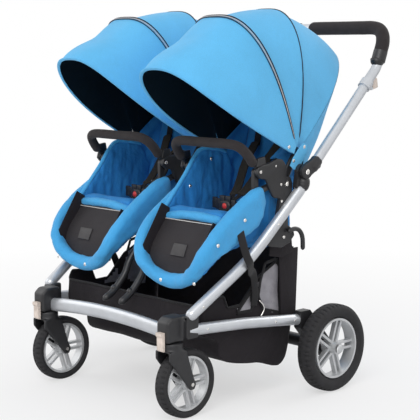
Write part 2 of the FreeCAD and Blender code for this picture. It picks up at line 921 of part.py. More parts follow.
def handle():
    """U-shaped push handle with its foam, collars, hinge halves and release rings."""
    bend_at = "handle_run"
    corner = handle_line(bend_at)
    neck = (
        f"{corner[0]} + cos(handle_top_angle) * handle_neck",
        f"{corner[1]} + sin(handle_top_angle) * handle_neck",
    )
    side_path = [handle_line("handle_start"), corner, neck]
    side_core = new_body("handle_side_core")
    add_pipe(side_core, "YZ_Plane", side_path, "handle_bend", "handle_radius")
    side = new_body("handle_side")
    bore = "handle_radius - tube_wall"
    add_pipe(side, "YZ_Plane", side_path, "handle_bend", "handle_radius", bore)
    for item in (side_core, side):
        place(item, ("handle_x", 0, 0))
    tilt = "handle_top_angle - 90"
    top_path = [
        ("handle_x", 0),
        ("handle_x", "handle_rise"),
        ("-handle_x", "handle_rise"),
        ("-handle_x", 0),
    ]
    grip_path = [
        ("handle_x", "grip_start"),
        ("handle_x", "handle_rise"),
        ("-handle_x", "handle_rise"),
        ("-handle_x", "grip_start"),
    ]
    top = new_body("handle_top")
    add_pipe(top, "XZ_Plane", top_path, "handle_corner", "handle_radius", bore, tilt=tilt)
    grip = new_body("grip_foam")
    add_pipe(
        grip, "XZ_Plane", grip_path, "handle_corner", "grip_radius", "handle_radius", tilt=tilt
    )
    for item in (top, grip):
        place(item, (0, *neck))
    bar = (
        f"{neck[0]} + cos(handle_top_angle) * handle_rise",
        f"{neck[1]} + sin(handle_top_angle) * handle_rise",
    )
    bare = rod("grip_gap", "-grip_gap_half", "grip_gap_half", bar, "grip_radius + 1")
    keep(fused("handle_tube", [side, mirrored("handle_side_left", side), top]))
    keep(cut("handle_grip", grip, bare))

    collar = new_body("collar")
    length = "collar_length"
    add_turned(
        collar,
        [
            (0, "handle_radius"),
            (0, "collar_radius - 2"),
            (3, "collar_radius"),
            (length, "collar_radius"),
            (length, "handle_radius"),
        ],
    )
    turn = FreeCAD.Rotation(FreeCAD.Vector(0, 0, 1), 90)
    collar_at = doc.addObject("Part::Feature", "collar_placed")
    collar_at.Label = "collar_placed"
    collar.Placement.Rotation = turn
    back_off = "collar_length - grip_start"
    start = [
        f"{neck[0]} - cos(handle_top_angle) * ({back_off})",
        f"{neck[1]} - sin(handle_top_angle) * ({back_off})",
    ]
    doc.recompute()
    collar_at.Shape = collar.Shape
    collar_at.Placement = FreeCAD.Placement(
        FreeCAD.Vector(value("handle_x"), value(start[0]), value(start[1])),
        FreeCAD.Rotation(FreeCAD.Vector(1, 0, 0), value("handle_top_angle")) * turn,
    )
    keep(both_sides("handle_collars", collar_at))
    upper_knuckles(side_core)
    triggers()


def upper_knuckles(side_core):
    """Plates on the hinge pins, sleeved over the handle's ends."""
    plate = new_body("upper_plate")
    radius = "knuckle_radius"
    outline = [
        handle_line(f"{radius} * 0.4", f"-handle_offset - {radius} * 0.9"),
        handle_line("handle_start + knuckle_sleeve_length * 0.9", "-knuckle_web"),
        handle_line("handle_start + knuckle_sleeve_length * 1.3", 0),
        handle_line("handle_start + knuckle_sleeve_length * 0.6", "knuckle_web"),
        handle_line(f"-{radius} * 0.2", 2),
        handle_line(f"-{radius} * 0.6", "-handle_offset"),
    ]
    add_slab(plate, outline, "knuckle_split_x", "knuckle_outer_x")
    add_disc(plate, HINGE, radius, "knuckle_split_x", "knuckle_outer_x")
    sleeve = new_body("handle_sleeve")
    start = handle_line("handle_start")
    end = handle_line("handle_start + knuckle_sleeve_length")
    add_pipe(sleeve, "YZ_Plane", [start, end], 1, "handle_radius + knuckle_sleeve")
    place(sleeve, ("handle_x", 0, 0))
    bore = rod(
        "hinge_bore",
        "knuckle_split_x - 1",
        "knuckle_outer_x + 1",
        HINGE,
        "hinge_pin_radius + running_gap",
    )
    whole = fused("upper_knuckle_whole", [plate, sleeve])
    tools = fused("upper_knuckle_tools", [bore, side_core])
    keep(both_sides("upper_knuckles", cut("upper_knuckle", whole, tools)))


def triggers():
    """Release rings that slide up the handle's side tubes."""
    ring = new_body("release_ring")
    end = handle_line("handle_run - trigger_from_bend")
    start = handle_line("handle_run - trigger_from_bend - trigger_length")
    add_pipe(
        ring, "YZ_Plane", [start, end], 1, "trigger_radius", "handle_radius + running_gap"
    )
    top = "handle_run - trigger_from_bend"
    outline = [
        handle_line(f"{top} - 12", "trigger_radius - 2"),
        handle_line(f"{top} - 2", "trigger_radius - 2"),
        handle_line(f"{top} - 2", "trigger_radius + trigger_tab"),
        handle_line(f"{top} - 9", "trigger_radius + trigger_tab"),
    ]
    add_slab(ring, outline, -7, 7)
    place(ring, ("handle_x", 0, 0))
    keep_pair("release_ring", ring)


def seat_frame():
    """Bent tube each side of a seat, joined across the foot, with the bumper bar's clips."""
    path = [
        ("seat_hub_y - seat_hub_radius", "seat_hub_height - 7"),
        ("seat_bend_y", "seat_bend_height"),
        ("knee_y", "knee_height"),
        ("toe_y", "toe_height"),
        ("foot_y", "foot_height"),
    ]
    roll_path = [
        ("knee_y + roll_start", "knee_height + roll_start * 0.55"),
        ("knee_y", "knee_height"),
        ("toe_y", "toe_height"),
        ("foot_y", "foot_height"),
    ]
    tubes = []
    rolls = []
    for name, side in (("outer", "1"), ("inner", "-1")):
        tube = new_body(f"seat_tube_{name}")
        add_pipe(tube, "YZ_Plane", path, "seat_bend_radius", "seat_tube_radius")
        roll = new_body(f"roll_{name}")
        add_pipe(roll, "YZ_Plane", roll_path, "seat_bend_radius", "roll_radius")
        for item in (tube, roll):
            place(item, (f"seat_x + {side} * seat_tube_x", 0, 0))
        tubes.append(tube)
        rolls.append(roll)
    left = "seat_x - seat_tube_x"
    right = "seat_x + seat_tube_x"
    foot = ("foot_y", "foot_height")
    tubes.append(rod("seat_foot_bar", left, right, foot, "seat_tube_radius"))
    overhang = "seat_tube_radius"
    rolls.append(
        rod("roll_foot", f"{left} - {overhang}", f"{right} + {overhang}", foot, "roll_radius")
    )
    clips = new_body("bumper_clips")
    strip = [
        ("bumper_y - clip_width", "seat_bend_height - 4"),
        ("bumper_y - clip_width", "bumper_height"),
        ("bumper_y", "bumper_height + clip_width"),
        ("bumper_y + clip_width", "bumper_height"),
        ("bumper_y + clip_width", "seat_bend_height - 4"),
    ]
    pin = ("bumper_y", "bumper_height")
    clip_in = "seat_tube_x - 12"
    clip_out = "bumper_arm_inner - seat_gap"
    for side in ("1", "-1"):
        ends = [f"seat_x + {side} * ({edge})" for edge in (clip_in, clip_out, "bumper_arm_outer")]
        near, far, tip = ends
        if side == "1":
            add_slab(clips, strip, near, far)
            add_disc(clips, pin, "bumper_pin_radius", near, tip)
        else:
            add_slab(clips, strip, far, near)
            add_disc(clips, pin, "bumper_pin_radius", tip, near)
    frame = fused("seat_frame", tubes + [clips])
    keep_pair("seat_frame", frame)
    keep_pair("footrest_roll", cut("footrest_roll", fused("roll_whole", rolls), frame))


def seat_hubs():
    """Hubs at the ends of the seat tubes, with the plates that carry the hood pins."""
    hubs = new_body("seat_hub_set")
    arm = [
        ("seat_hub_y - 9", "seat_hub_height + seat_hub_radius - 8"),
        ("hood_y - 8", "hood_height + 6"),
        ("hood_y + 8", "hood_height + 6"),
        ("hood_y + 10", "hood_height - 8"),
        ("seat_hub_y + 18", "seat_hub_height + 8"),
    ]
    inner = "seat_hub_inner"
    outer = "seat_hub_outer"
    pin_end = "hood_front_half + seat_gap"
    for side in ("1", "-1"):
        near = f"seat_x + {side} * {inner}"
        far = f"seat_x + {side} * {outer}"
        tip = f"seat_x + {side} * ({pin_end})"
        if side == "1":
            add_disc(hubs, HUB, "seat_hub_radius", near, far)
            add_slab(hubs, arm, near, far)
            add_disc(hubs, HOOD, "hood_pin_radius", near, tip)
        else:
            add_disc(hubs, HUB, "seat_hub_radius", far, near)
            add_slab(hubs, arm, far, near)
            add_disc(hubs, HOOD, "hood_pin_radius", tip, near)
    keep(both_sides("seat_hubs", hubs))


def seat_arms(main, knuckle, bracket):
    """Arms from the main tubes up to the outer seat hubs."""
    arm = new_body("seat_arm_plate")
    y, z = HUB
    outline = [
        (f"{y} - arm_foot_reach", f"{z} - arm_foot_drop"),
        (f"{y} - arm_head * 1.1", f"{z} - arm_head * 0.2"),
        (f"{y} - arm_head * 0.55", f"{z} + arm_head"),
        (f"{y} + arm_head * 0.55", f"{z} + arm_head"),
        (f"{y} + arm_head * 1.1", z),
        (f"{y} + arm_head * 0.8", f"{z} - arm_heel_drop"),
    ]
    add_slab(arm, outline, "arm_inner_x", "arm_outer_x")
    tools = fused("seat_arm_tools", [main, knuckle, bracket])
    keep(both_sides("seat_arms", cut("seat_arm", arm, tools)))


def centre_frame():
    """Two posts from the front tube up between the seats to the inner hubs."""
    posts = []
    path = [
        ("post_low_y", "post_low_height"),
        ("post_mid_y", "post_mid_height"),
        HUB,
    ]
    for name, side in (("right", "1"), ("left", "-1")):
        item = new_body(f"centre_post_{name}")
        add_pipe(item, "YZ_Plane", path, "post_bend", "post_radius")
        place(item, (f"{side} * post_x", 0, 0))
        posts.append(item)
    inner = "seat_x - seat_hub_outer"
    posts.append(rod("post_bar", f"-({inner})", inner, HUB, "post_bar_radius"))
    foot = new_body("post_foot")
    top = "post_low_height + 6"
    outline = [
        ("cross_y", "cross_height + cross_rise"),
        ("cross_y - 4", top),
        ("post_low_y + 9", top),
        ("post_low_y + 9", "post_low_height - 22"),
    ]
    add_slab(foot, outline, "-post_x - post_radius - 3", "post_x + post_radius + 3")
    posts.append(foot)
    whole = fused("centre_frame_whole", posts)
    length = "cross_arch"
    tube = rod(
        "cross_core", f"-{length}", length, ("cross_y", "cross_height + cross_rise"), "cross_radius"
    )
    keep(cut("centre_frame", whole, tube))


def seat_tub():
    """Sides and cushion of a seat, with holes for the back's hinge rod."""
    tub = new_body("seat_shell")
    side = [
        ("toe_y + 8", "toe_height - 8"),
        ("knee_y", "knee_height + 10"),
        ("bumper_y - 20", "tub_rim_height - 36"),
        ("bumper_y + 60", "tub_rim_height"),
        ("tub_back_y - 30", "tub_rim_height"),
        ("tub_back_y", "tub_back_height"),
        ("back_pivot_y + 22", "cushion_back_height - cushion_thickness"),
        ("back_pivot_y - 40", "cushion_back_height - cushion_thickness - 8"),
        ("tub_belly_y", "tub_belly_height"),
        ("tub_calf_y", "tub_calf_height"),
        ("foot_y + 2", "foot_height + roll_radius + 6"),
    ]
    base = [
        ("cushion_front_y", "cushion_front_height - cushion_thickness"),
        ("cushion_front_y", "cushion_front_height"),
        (CUSHION_BACK, "cushion_back_height"),
        (CUSHION_BACK, "cushion_back_height - cushion_thickness"),
    ]
    rim = "tub_inner + tub_wall"
    add_slab(tub, base, "seat_x - tub_inner - 1", "seat_x + tub_inner + 1")
    add_slab(tub, side, "seat_x + tub_inner", f"seat_x + {rim}")
    add_slab(tub, side, f"seat_x - ({rim})", "seat_x - tub_inner")
    ends = (f"seat_x - ({rim})", f"seat_x + {rim}")
    bore = rod("back_bore", *ends, BACK_PIVOT, "back_pin_radius + running_gap")
    keep_pair("seat_tub", cut("seat_tub", tub, bore))


def calf_flap():
    """Curtain behind the legs, from the cushion down to the foot bar."""
    flap = new_body("calf_flap")
    front = "cushion_front_y - 5"
    gap = "roll_radius + seat_gap"
    outline = [
        (front, "flap_top_height"),
        ("knee_y - 62", "flap_top_height - 76"),
        ("foot_y", f"foot_height + {gap}"),
        (f"foot_y + flap_thickness", f"foot_height + {gap}"),
        ("knee_y - 62 + flap_thickness", "flap_top_height - 74"),
        (f"{front} + flap_thickness", "flap_top_height"),
    ]
    half = "tub_inner - seat_gap"
    add_slab(flap, outline, f"seat_x - ({half})", f"seat_x + {half}")
    keep_pair("calf_flap", flap)


def backrest():
    """Reclining back on its hinge rod, and the harness pads on its face."""
    back = new_body("back_board")
    sketch = new_sketch(back, "XZ_Plane")
    half = "(tub_inner - seat_gap)"
    shoulder = "back_shoulder"
    outline = [
        (f"-{half}", 0),
        (half, 0),
        (half, f"back_length - {shoulder}"),
        (f"{half} - {shoulder}", "back_length"),
        (f"-{half} + {shoulder}", "back_length"),
        (f"-{half}", f"back_length - {shoulder}"),
    ]
    draw_polygon(sketch, outline)
    add_pad(back, sketch, "back_thickness", backwards=True)
    pads = new_body("harness")
    sketch = new_sketch(pads, "XZ_Plane", "seat_gap")
    for side in ("-1", "1"):
        near = f"{side} * strap_half_gap"
        far = f"{side} * (strap_half_gap + strap_width)"
        outline = [
            (near, "strap_low"),
            (far, "strap_low"),
            (far, "strap_high"),
            (near, "strap_high"),
        ]
        draw_polygon(sketch, outline)
    add_pad(pads, sketch, "strap_thickness")
    for item in (back, pads):
        place(item, ("seat_x", *BACK_PIVOT), (1, 0, 0), "-back_tilt")
    rim = "tub_inner + tub_wall"
    ends = (f"seat_x - ({rim})", f"seat_x + {rim}")
    hinge = rod("back_hinge", *ends, BACK_PIVOT, "back_pin_radius")
    keep_pair("backrest", fused("backrest", [back, hinge]))
    keep_pair("harness", pads)


def buckle():
    """Harness buckle standing on the cushion between the legs."""
    body = new_body("buckle")
    drop = "(cushion_front_height - cushion_back_height)"
    slope = f"{drop} / ({CUSHION_BACK} - cushion_front_y)"
    top = f"cushion_front_height - ({slope}) * (buckle_y - cushion_front_y)"
    front = f"{top} + seat_gap"
    back = f"{top} - ({slope}) * buckle_thickness + seat_gap"
    outline = [
        ("buckle_y", front),
        ("buckle_y - 6", f"{front} + buckle_height"),
        ("buckle_y + buckle_thickness - 6", f"{front} + buckle_height"),
        ("buckle_y + buckle_thickness", back),
    ]
    add_slab(body, outline, "seat_x - buckle_width / 2", "seat_x + buckle_width / 2")
    keep_pair("buckle", body)


def bumper_bar():
    """Arched bar over the lap that swings on the two clips, with its foam."""
    arm_inner = "bumper_arm_inner"
    arm_outer = "bumper_arm_outer"
    middle = f"({arm_inner} + {arm_outer}) / 2"
    path = [
        (middle, "bumper_eye - 3"),
        (middle, "bumper_reach"),
        (f"-{middle}", "bumper_reach"),
        (f"-{middle}", "bumper_eye - 3"),
    ]
    foam_path = [
        (middle, "bumper_foam_start"),
        (middle, "bumper_reach"),
        (f"-{middle}", "bumper_reach"),
        (f"-{middle}", "bumper_foam_start"),
    ]
    core = new_body("bumper_core")
    add_pipe(core, "XZ_Plane", path, "bumper_corner", "bumper_core", tilt="bumper_angle")
    foam = new_body("bumper_foam")
    add_pipe(
        foam,
        "XZ_Plane",
        foam_path,
        "bumper_corner",
        "bumper_foam",
        "bumper_core",
        tilt="bumper_angle",
    )
    for item in (core, foam):
        place(item, ("seat_x", "bumper_y", "bumper_height"))
    pin = ("bumper_y", "bumper_height")
    eyes = new_body("bumper_eyes")
    bore = "bumper_pin_radius + running_gap"
    add_disc(eyes, pin, "bumper_eye", f"seat_x + {arm_inner}", f"seat_x + {arm_outer}")
    add_disc(eyes, pin, "bumper_eye", f"seat_x - {arm_outer}", f"seat_x - {arm_inner}")
    whole = fused("bumper_whole", [core, eyes])
    hole = rod("bumper_bore", f"seat_x - {arm_outer}", f"seat_x + {arm_outer}", pin, bore)
    keep_pair("bumper_bar", cut("bumper_bar", whole, hole))
    keep_pair("bumper_foam", foam)


def hood_outline(half, radius, wall):
    """Arch across the seat, as (across, radius) points of a band one wall thick."""

    def arch(side, top, corner):
        return [
            (f"-({side})", "hood_pin_radius + 1"),
            (f"-({side})", f"({top}) - ({corner})"),
            (f"-({side}) + 0.29 * ({corner})", f"({top}) - 0.29 * ({corner})"),
            (f"-({side}) + ({corner})", top),
            (f"({side}) - ({corner})", top),
            (f"({side}) - 0.29 * ({corner})", f"({top}) - 0.29 * ({corner})"),
            (side, f"({top}) - ({corner})"),
            (side, "hood_pin_radius + 1"),
        ]

    outer = arch(half, radius, "hood_corner")
    inner = arch(f"{half} - {wall}", f"{radius} - {wall}", f"hood_corner - {wall}")
    return outer + inner[::-1]


def hood_ears(body, half):
    bore = "hood_pin_radius + running_gap"
    add_disc(body, (0, 0), "hood_ear", f"{half} - hood_wall", half, bore)
    add_disc(body, (0, 0), "hood_ear", f"-({half})", f"-({half}) + hood_wall", bore)


def hood_section(label, half, radius, start, end):
    """Band of the hood between two bow angles, measured forward from upright."""
    body = new_body(label)
    add_turned(body, hood_outline(half, radius, "hood_wall"), f"({end}) - ({start})")
    hood_ears(body, half)
    place(body, ("seat_x", *HOOD), (1, 0, 0), f"90 + ({start})")
    keep_pair(label, body)


def hoods():
    """Three nested bands, of which the front one flares out to the lip."""
    hood_section(
        "hood_rear",
        "hood_rear_half",
        "hood_rear_radius",
        "hood_rear_back_angle",
        "hood_rear_front_angle",
    )
    hood_section(
        "hood_mid", "hood_mid_half", "hood_mid_radius", "hood_rear_front_angle", "hood_mid_angle"
    )
    front = new_body("hood_front")
    sections = []
    for radius, angle in (
        ("hood_front_radius", "hood_mid_angle"),
        ("hood_lip_radius", "hood_lip_angle"),
    ):
        sketch = new_sketch(front, "XZ_Plane", tilt=angle)
        draw_polygon(sketch, hood_outline("hood_front_half", radius, "hood_wall"))
        sections.append(sketch)
    loft = front.newObject("PartDesign::AdditiveLoft", "hood_front_loft")
    loft.Profile = sections[0]
    loft.Sections = sections[1:]
    loft.Ruled = True
    front.Tip = loft
    hood_ears(front, "hood_front_half")
    place(front, ("seat_x", *HOOD))
    keep_pair("hood_front", front)


def basket():
    """Open-topped storage basket hung between the rails and the uprights."""
    body = new_body("basket")
    outline = [
        ("basket_back_y", "basket_back_height"),
        ("basket_floor_back_y", "basket_floor_height"),
        ("basket_floor_front_y", "basket_floor_height"),
        ("basket_nose_y", "basket_nose_height"),
        ("basket_chin_y", "basket_chin_height"),
        ("basket_front_y", "basket_front_bottom"),
        ("basket_front_y", "basket_front_top"),
        ("basket_dip_y", "basket_dip_height"),
    ]
    half = "basket_half_width"
    add_slab(body, outline, f"-{half}", half)
    wall = "basket_wall"
    inside = [
        (f"basket_back_y - {wall}", "basket_back_height + 3"),
        (f"basket_floor_back_y - {wall}", f"basket_floor_height + {wall}"),
        ("basket_floor_front_y", f"basket_floor_height + {wall}"),
        (f"basket_nose_y + {wall}", f"basket_nose_height + {wall}"),
        (f"basket_chin_y + {wall}", f"basket_chin_height + {wall}"),
        (f"basket_front_y + {wall}", f"basket_front_bottom + {wall}"),
        (f"basket_front_y + {wall}", "basket_front_top + 3"),
        ("basket_dip_y", "basket_dip_height + 3"),
    ]
    sketch = new_sketch(body, "YZ_Plane", f"-{half} + {wall}")
    draw_polygon(sketch, inside)
    doc.recompute()
    full = body.Shape.Volume
    pocket = body.newObject("PartDesign::Pocket", "basket_inside")
    pocket.Profile = sketch
    pocket.Reversed = True
    bind(pocket, "Length", f"2 * ({half} - {wall})")
    body.Tip = pocket
    doc.recompute()
    if body.Shape.Volume > full / 2:
        raise RuntimeError("the basket is not hollow")
    tab = [
        ("basket_back_y - 4", "basket_back_height - basket_tab_height - 40"),
        ("basket_back_y - 4", "basket_back_height - 40"),
        ("basket_back_y - 4 - basket_tab_width", "basket_back_height - 40"),
        ("basket_back_y - 4 - basket_tab_width", "basket_back_height - basket_tab_height - 40"),
    ]
    reach = "upright_x - upright_radius"
    add_slab(body, tab, f"{half} - 1", reach)
    add_slab(body, tab, f"-({reach})", f"-{half} + 1")
    keep(body)


def brake():
    """Foot pedal on a ring that turns on the axle tube."""
    body = new_body("brake_pedal")
    half = "brake_half_width"
    add_disc(
        body, REAR_AXLE, "brake_ring_radius", f"-{half}", half, "axle_tube_radius + running_gap"
    )
    y, z = REAR_AXLE
    plate = [
        (f"{y} + axle_tube_radius + 2", f"{z} + pedal_height - pedal_thickness"),
        (f"{y} + axle_tube_radius + 2", f"{z} + pedal_height"),
        (f"{y} + pedal_reach", f"{z} + pedal_height + 6"),
        (f"{y} + pedal_reach", f"{z} + pedal_height + 6 - pedal_thickness"),
    ]
    add_slab(body, plate, f"-{half} + 2", f"{half} - 2")
    keep(body)


def export():
    """Check every object, then write one file for each sub-part."""
    doc.recompute()
    failed = [o.Name for o in doc.Objects if "Invalid" in o.State or "Error" in o.State]
    if failed:
        raise RuntimeError(f"failed: {failed}")
    os.makedirs("parts", exist_ok=True)
    for item in nodes:
        shape = item.Shape
        if shape.isNull() or not shape.isValid() or not shape.Solids:
            raise RuntimeError(f"bad shape: {item.Label}")
        shape.exportStep(f"parts/{item.Label}.step")


def main():
    fill_sheet()
    wheels()
    rear_axle()
    caster()
    rail, main_tube, sleeve = chassis_tubes()
    housings(rail, main_tube)
    rear_brackets(rail)
    knuckle = knuckles(sleeve, main_tube)
    bracket = frame_brackets(main_tube, knuckle)
    handle()
    seat_frame()
    seat_hubs()
    seat_arms(main_tube, knuckle, bracket)
    centre_frame()
    seat_tub()
    calf_flap()
    backrest()
    buckle()
    bumper_bar()
    hoods()
    basket()
    brake()
    export()


main()
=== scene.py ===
"""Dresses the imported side-by-side stroller with its cloth, foam, tyres, fittings and finishes."""

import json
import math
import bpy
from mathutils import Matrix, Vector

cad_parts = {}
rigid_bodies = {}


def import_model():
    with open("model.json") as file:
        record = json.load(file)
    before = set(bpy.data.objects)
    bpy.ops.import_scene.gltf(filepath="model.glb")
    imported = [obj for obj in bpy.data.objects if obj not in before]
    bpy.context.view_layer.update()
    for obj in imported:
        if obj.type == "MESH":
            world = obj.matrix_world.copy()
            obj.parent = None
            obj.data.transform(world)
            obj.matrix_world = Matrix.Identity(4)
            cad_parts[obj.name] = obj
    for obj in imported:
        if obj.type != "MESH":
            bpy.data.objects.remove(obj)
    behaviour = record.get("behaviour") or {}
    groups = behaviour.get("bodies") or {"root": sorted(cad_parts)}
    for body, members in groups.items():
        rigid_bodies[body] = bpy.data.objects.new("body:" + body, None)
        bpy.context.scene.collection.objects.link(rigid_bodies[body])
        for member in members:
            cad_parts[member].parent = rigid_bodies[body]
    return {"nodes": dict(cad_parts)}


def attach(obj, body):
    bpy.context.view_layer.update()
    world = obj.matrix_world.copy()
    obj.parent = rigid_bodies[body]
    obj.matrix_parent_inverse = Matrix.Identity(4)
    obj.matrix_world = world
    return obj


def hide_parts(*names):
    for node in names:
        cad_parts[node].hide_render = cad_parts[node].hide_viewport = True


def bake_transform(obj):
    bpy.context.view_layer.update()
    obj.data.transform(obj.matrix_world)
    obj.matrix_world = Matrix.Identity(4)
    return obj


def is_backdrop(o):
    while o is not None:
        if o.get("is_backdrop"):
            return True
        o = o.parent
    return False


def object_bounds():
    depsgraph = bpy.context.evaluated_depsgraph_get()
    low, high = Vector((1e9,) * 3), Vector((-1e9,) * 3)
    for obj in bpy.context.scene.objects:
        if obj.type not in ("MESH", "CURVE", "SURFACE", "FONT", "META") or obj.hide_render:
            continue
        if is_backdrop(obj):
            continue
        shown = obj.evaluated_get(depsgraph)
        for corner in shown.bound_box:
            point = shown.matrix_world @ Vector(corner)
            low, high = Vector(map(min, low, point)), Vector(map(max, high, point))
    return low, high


bl_info = {
    "name": "Side-by-side Stroller",
    "version": (1, 0, 0),
    "blender": (4, 5, 0),
    "location": "3D View > Sidebar > Stroller",
    "description": "Builds the stroller's cloth, foam, tyres, fittings and finishes over its frame",
    "category": "Object",
}

import bmesh
import bpy
from bpy.props import FloatProperty, FloatVectorProperty, PointerProperty
from mathutils import Matrix, Vector, noise

for leftover in list(bpy.data.objects):
    bpy.data.objects.remove(leftover)
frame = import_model()
CAD_BOX = [list(corner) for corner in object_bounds()]
FINISHES = {}

# Places shared by several pieces, in metres, with Z up and the front towards -Y.
SEAT_X = 0.185
HOOD_HINGE = Vector((SEAT_X, 0.0365, 0.660))
BACK_HINGE = Vector((SEAT_X, 0.030, 0.486))
BACK_TILT = math.radians(16)
BACK_TURN = Matrix.Rotation(-BACK_TILT, 4, "X")
SIDE_FRONT_X = 0.298  # front end of the right-hand side tube
SIDE_FRONT_Y = -0.333
SIDE_SPLAY = 0.1317  # metres outwards for each metre towards the back
TUBE_RADIUS = 0.015
HANDLE_X = 0.3535
NECK = (0.35251, 0.92553)
BAR = (0.38366, 1.00462)


# ---------------------------------------------------------------- shaping


def on_back(x, deep, up):
    """Point on the tilted backrest: across it, behind its face and up from its hinge."""
    return BACK_HINGE + BACK_TURN @ Vector((x, deep, up))


def left_name(text):
    return text.replace("_right", "_left")


def new_piece(name, bm, *finishes, smooth=True):
    """Object at the origin that holds a finished bmesh and wears the named finishes."""
    mesh = bpy.data.meshes.new(name)
    bm.to_mesh(mesh)
    bm.free()
    for finish in finishes:
        mesh.materials.append(FINISHES[finish])
    for face in mesh.polygons:
        face.use_smooth = smooth
    piece = bpy.data.objects.new(name, mesh)
    bpy.context.scene.collection.objects.link(piece)
    return piece


def twin_of(piece):
    """Mirror image of a right-hand piece, for the left-hand seat."""
    mesh = piece.data.copy()
    mesh.transform(Matrix.Diagonal((-1, 1, 1, 1)))
    mesh.flip_normals()
    twin = bpy.data.objects.new(left_name(piece.name), mesh)
    bpy.context.scene.collection.objects.link(twin)
    for source in piece.modifiers:
        copy = twin.modifiers.new(source.name, source.type)
        for prop in source.bl_rna.properties:
            if not prop.is_readonly and prop.identifier not in ("name", "type"):
                setattr(copy, prop.identifier, getattr(source, prop.identifier))
    return twin


def settle(piece, body, stands_for=(), bends=None, pair=True):
    """Put a finished piece, and its twin on the other seat, on their bodies; a piece given bends is
    only baked where it lies, on no body.
    """
    sides = [(piece, str, 1)]
    if pair:
        sides.append((twin_of(piece), left_name, -1))
    for item, turn, side in sides:
        if bends:
            body_a, body_b, start, end = bends
            ends = [(side * point[0], point[1], point[2]) for point in (start, end)]
            turn(body_a)
            turn(body_b)
            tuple(ends[0])
            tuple(ends[1])
            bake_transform(item)
        else:
            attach(item, turn(body))
        if stands_for:
            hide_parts(*[turn(node) for node in stands_for])


def mirrored(bm):
    """The same shape on the other side of the stroller."""
    bmesh.ops.transform(bm, matrix=Matrix.Diagonal((-1, 1, 1, 1)), verts=bm.verts)
    bmesh.ops.reverse_faces(bm, faces=bm.faces)
    return bm


def smooth_run(points, steps=8):
    """Points on a smooth curve through the given ones."""
    points = [Vector(point) for point in points]
    ends = [points[0] * 2 - points[1], *points, points[-1] * 2 - points[-2]]
    run = []
    for before, here, there, after in zip(ends, ends[1:], ends[2:], ends[3:]):
        for step in range(steps):
            t = step / steps
            run.append(
                0.5
                * (
                    here * 2
                    + (there - before) * t
                    + (before * 2 - here * 5 + there * 4 - after) * t**2
                    + (here * 3 - before - there * 3 + after) * t**3
                )
            )
    run.append(points[-1])
    return run


def run_length(run):
    return sum((there - here).length for here, there in zip(run, run[1:]))


def even_run(run, count):
    """The same run with evenly spaced points."""
    gap = run_length(run) / count
    spaced, walked, target = [run[0].copy()], 0.0, gap
    for here, there in zip(run, run[1:]):
        length = (there - here).length
        while length and walked + length >= target and len(spaced) < count:
            spaced.append(here.lerp(there, (target - walked) / length))
            target += gap
        walked += length
    spaced.append(run[-1].copy())
    return spaced


def crosswise(run, first=None):
    """Each point of a run with its two crosswise directions, which don't twist."""
    side = Vector(first) if first else (run[1] - run[0]).orthogonal()
    stations = []
    for n, point in enumerate(run):
        ahead = (run[min(n + 1, len(run) - 1)] - run[max(n - 1, 0)]).normalized()
        side = (side - ahead * side.dot(ahead)).normalized()
        stations.append((point, side, ahead.cross(side)))
    return stations


def swept(run, section, sides=16, first=None, ring=False):
    """Closed skin whose section(turn, share, point) gives its two crosswise offsets."""
    stations = crosswise(run, first)
    last = len(run) - 1
    bm = bmesh.new()
    bm.loops.layers.uv.new("UVMap")
    bmesh.ops.create_grid(bm, x_segments=sides, y_segments=last, size=0.5, calc_uvs=True)
    for vert in bm.verts:
        turn = (vert.co.x + 0.5) * math.tau
        n = round((vert.co.y + 0.5) * last)
        point, side, up = stations[n]
        across, above = section(turn, n / last, point)
        vert.co = point + side * across + up * above
    bmesh.ops.remove_doubles(bm, verts=bm.verts, dist=1e-6)
    if not ring:
        rims = [edge for edge in bm.edges if edge.is_boundary]
        bmesh.ops.holes_fill(bm, edges=rims, sides=0)
    bmesh.ops.recalc_face_normals(bm, faces=bm.faces)
    return bm


def round_tube(run, radius, sides=12, blunt=True, first=None):
    """Tube of even radius, with its ends drawn in when they are blunt."""
    length = run_length(run)

    def section(turn, share, point):
        near = min(share, 1 - share) * length
        swell = 1.0
        if blunt and near < radius:
            swell = max(0.35, math.sqrt(1 - (1 - near / radius) ** 2))
        return radius * swell * math.cos(turn), radius * swell * math.sin(turn)

    return swept(run, section, sides, first)


def ribbon(run, width, across, thick=0.0016):
    """Flat strap along a run, with its width lying across it."""

    def section(turn, share, point):
        c, s = math.cos(turn), math.sin(turn)
        flat = width / 2 * math.copysign(abs(c) ** 0.35, c)
        return flat, thick / 2 * math.copysign(abs(s) ** 0.6, s)

    return swept(run, section, 12, across)


def laid_out(across, along, place, outside):
    """Open sheet of quads put down by place(u, v), with its front away from a point."""
    bm = bmesh.new()
    bm.loops.layers.uv.new("UVMap")
    bmesh.ops.create_grid(bm, x_segments=across, y_segments=along, size=0.5, calc_uvs=True)
    for vert in bm.verts:
        vert.co = place(vert.co.x + 0.5, vert.co.y + 0.5)
    bmesh.ops.remove_doubles(bm, verts=bm.verts, dist=1e-6)
    bmesh.ops.recalc_face_normals(bm, faces=bm.faces)
    bm.normal_update()
    facing = sum(
        face.normal.dot(face.calc_center_median() - Vector(outside)) * face.calc_area()
        for face in bm.faces
    )
    if facing < 0:
        bmesh.ops.reverse_faces(bm, faces=bm.faces)
    return bm


def slab(corners, push, rounding, segments=3):
    """Solid pad from a flat outline pushed to its thickness, with rounded edges."""
    bm = bmesh.new()
    face = bm.faces.new([bm.verts.new(corner) for corner in corners])
    grown = bmesh.ops.extrude_face_region(bm, geom=[face])
    moved = [item for item in grown["geom"] if isinstance(item, bmesh.types.BMVert)]
    bmesh.ops.translate(bm, verts=moved, vec=Vector(push))
    bmesh.ops.recalc_face_normals(bm, faces=bm.faces)
    bmesh.ops.bevel(
        bm,
        geom=bm.edges[:],
        offset=rounding,
        segments=segments,
        affect="EDGES",
        profile=0.5,
        material=-1,
        clamp_overlap=True,
    )
    return bm


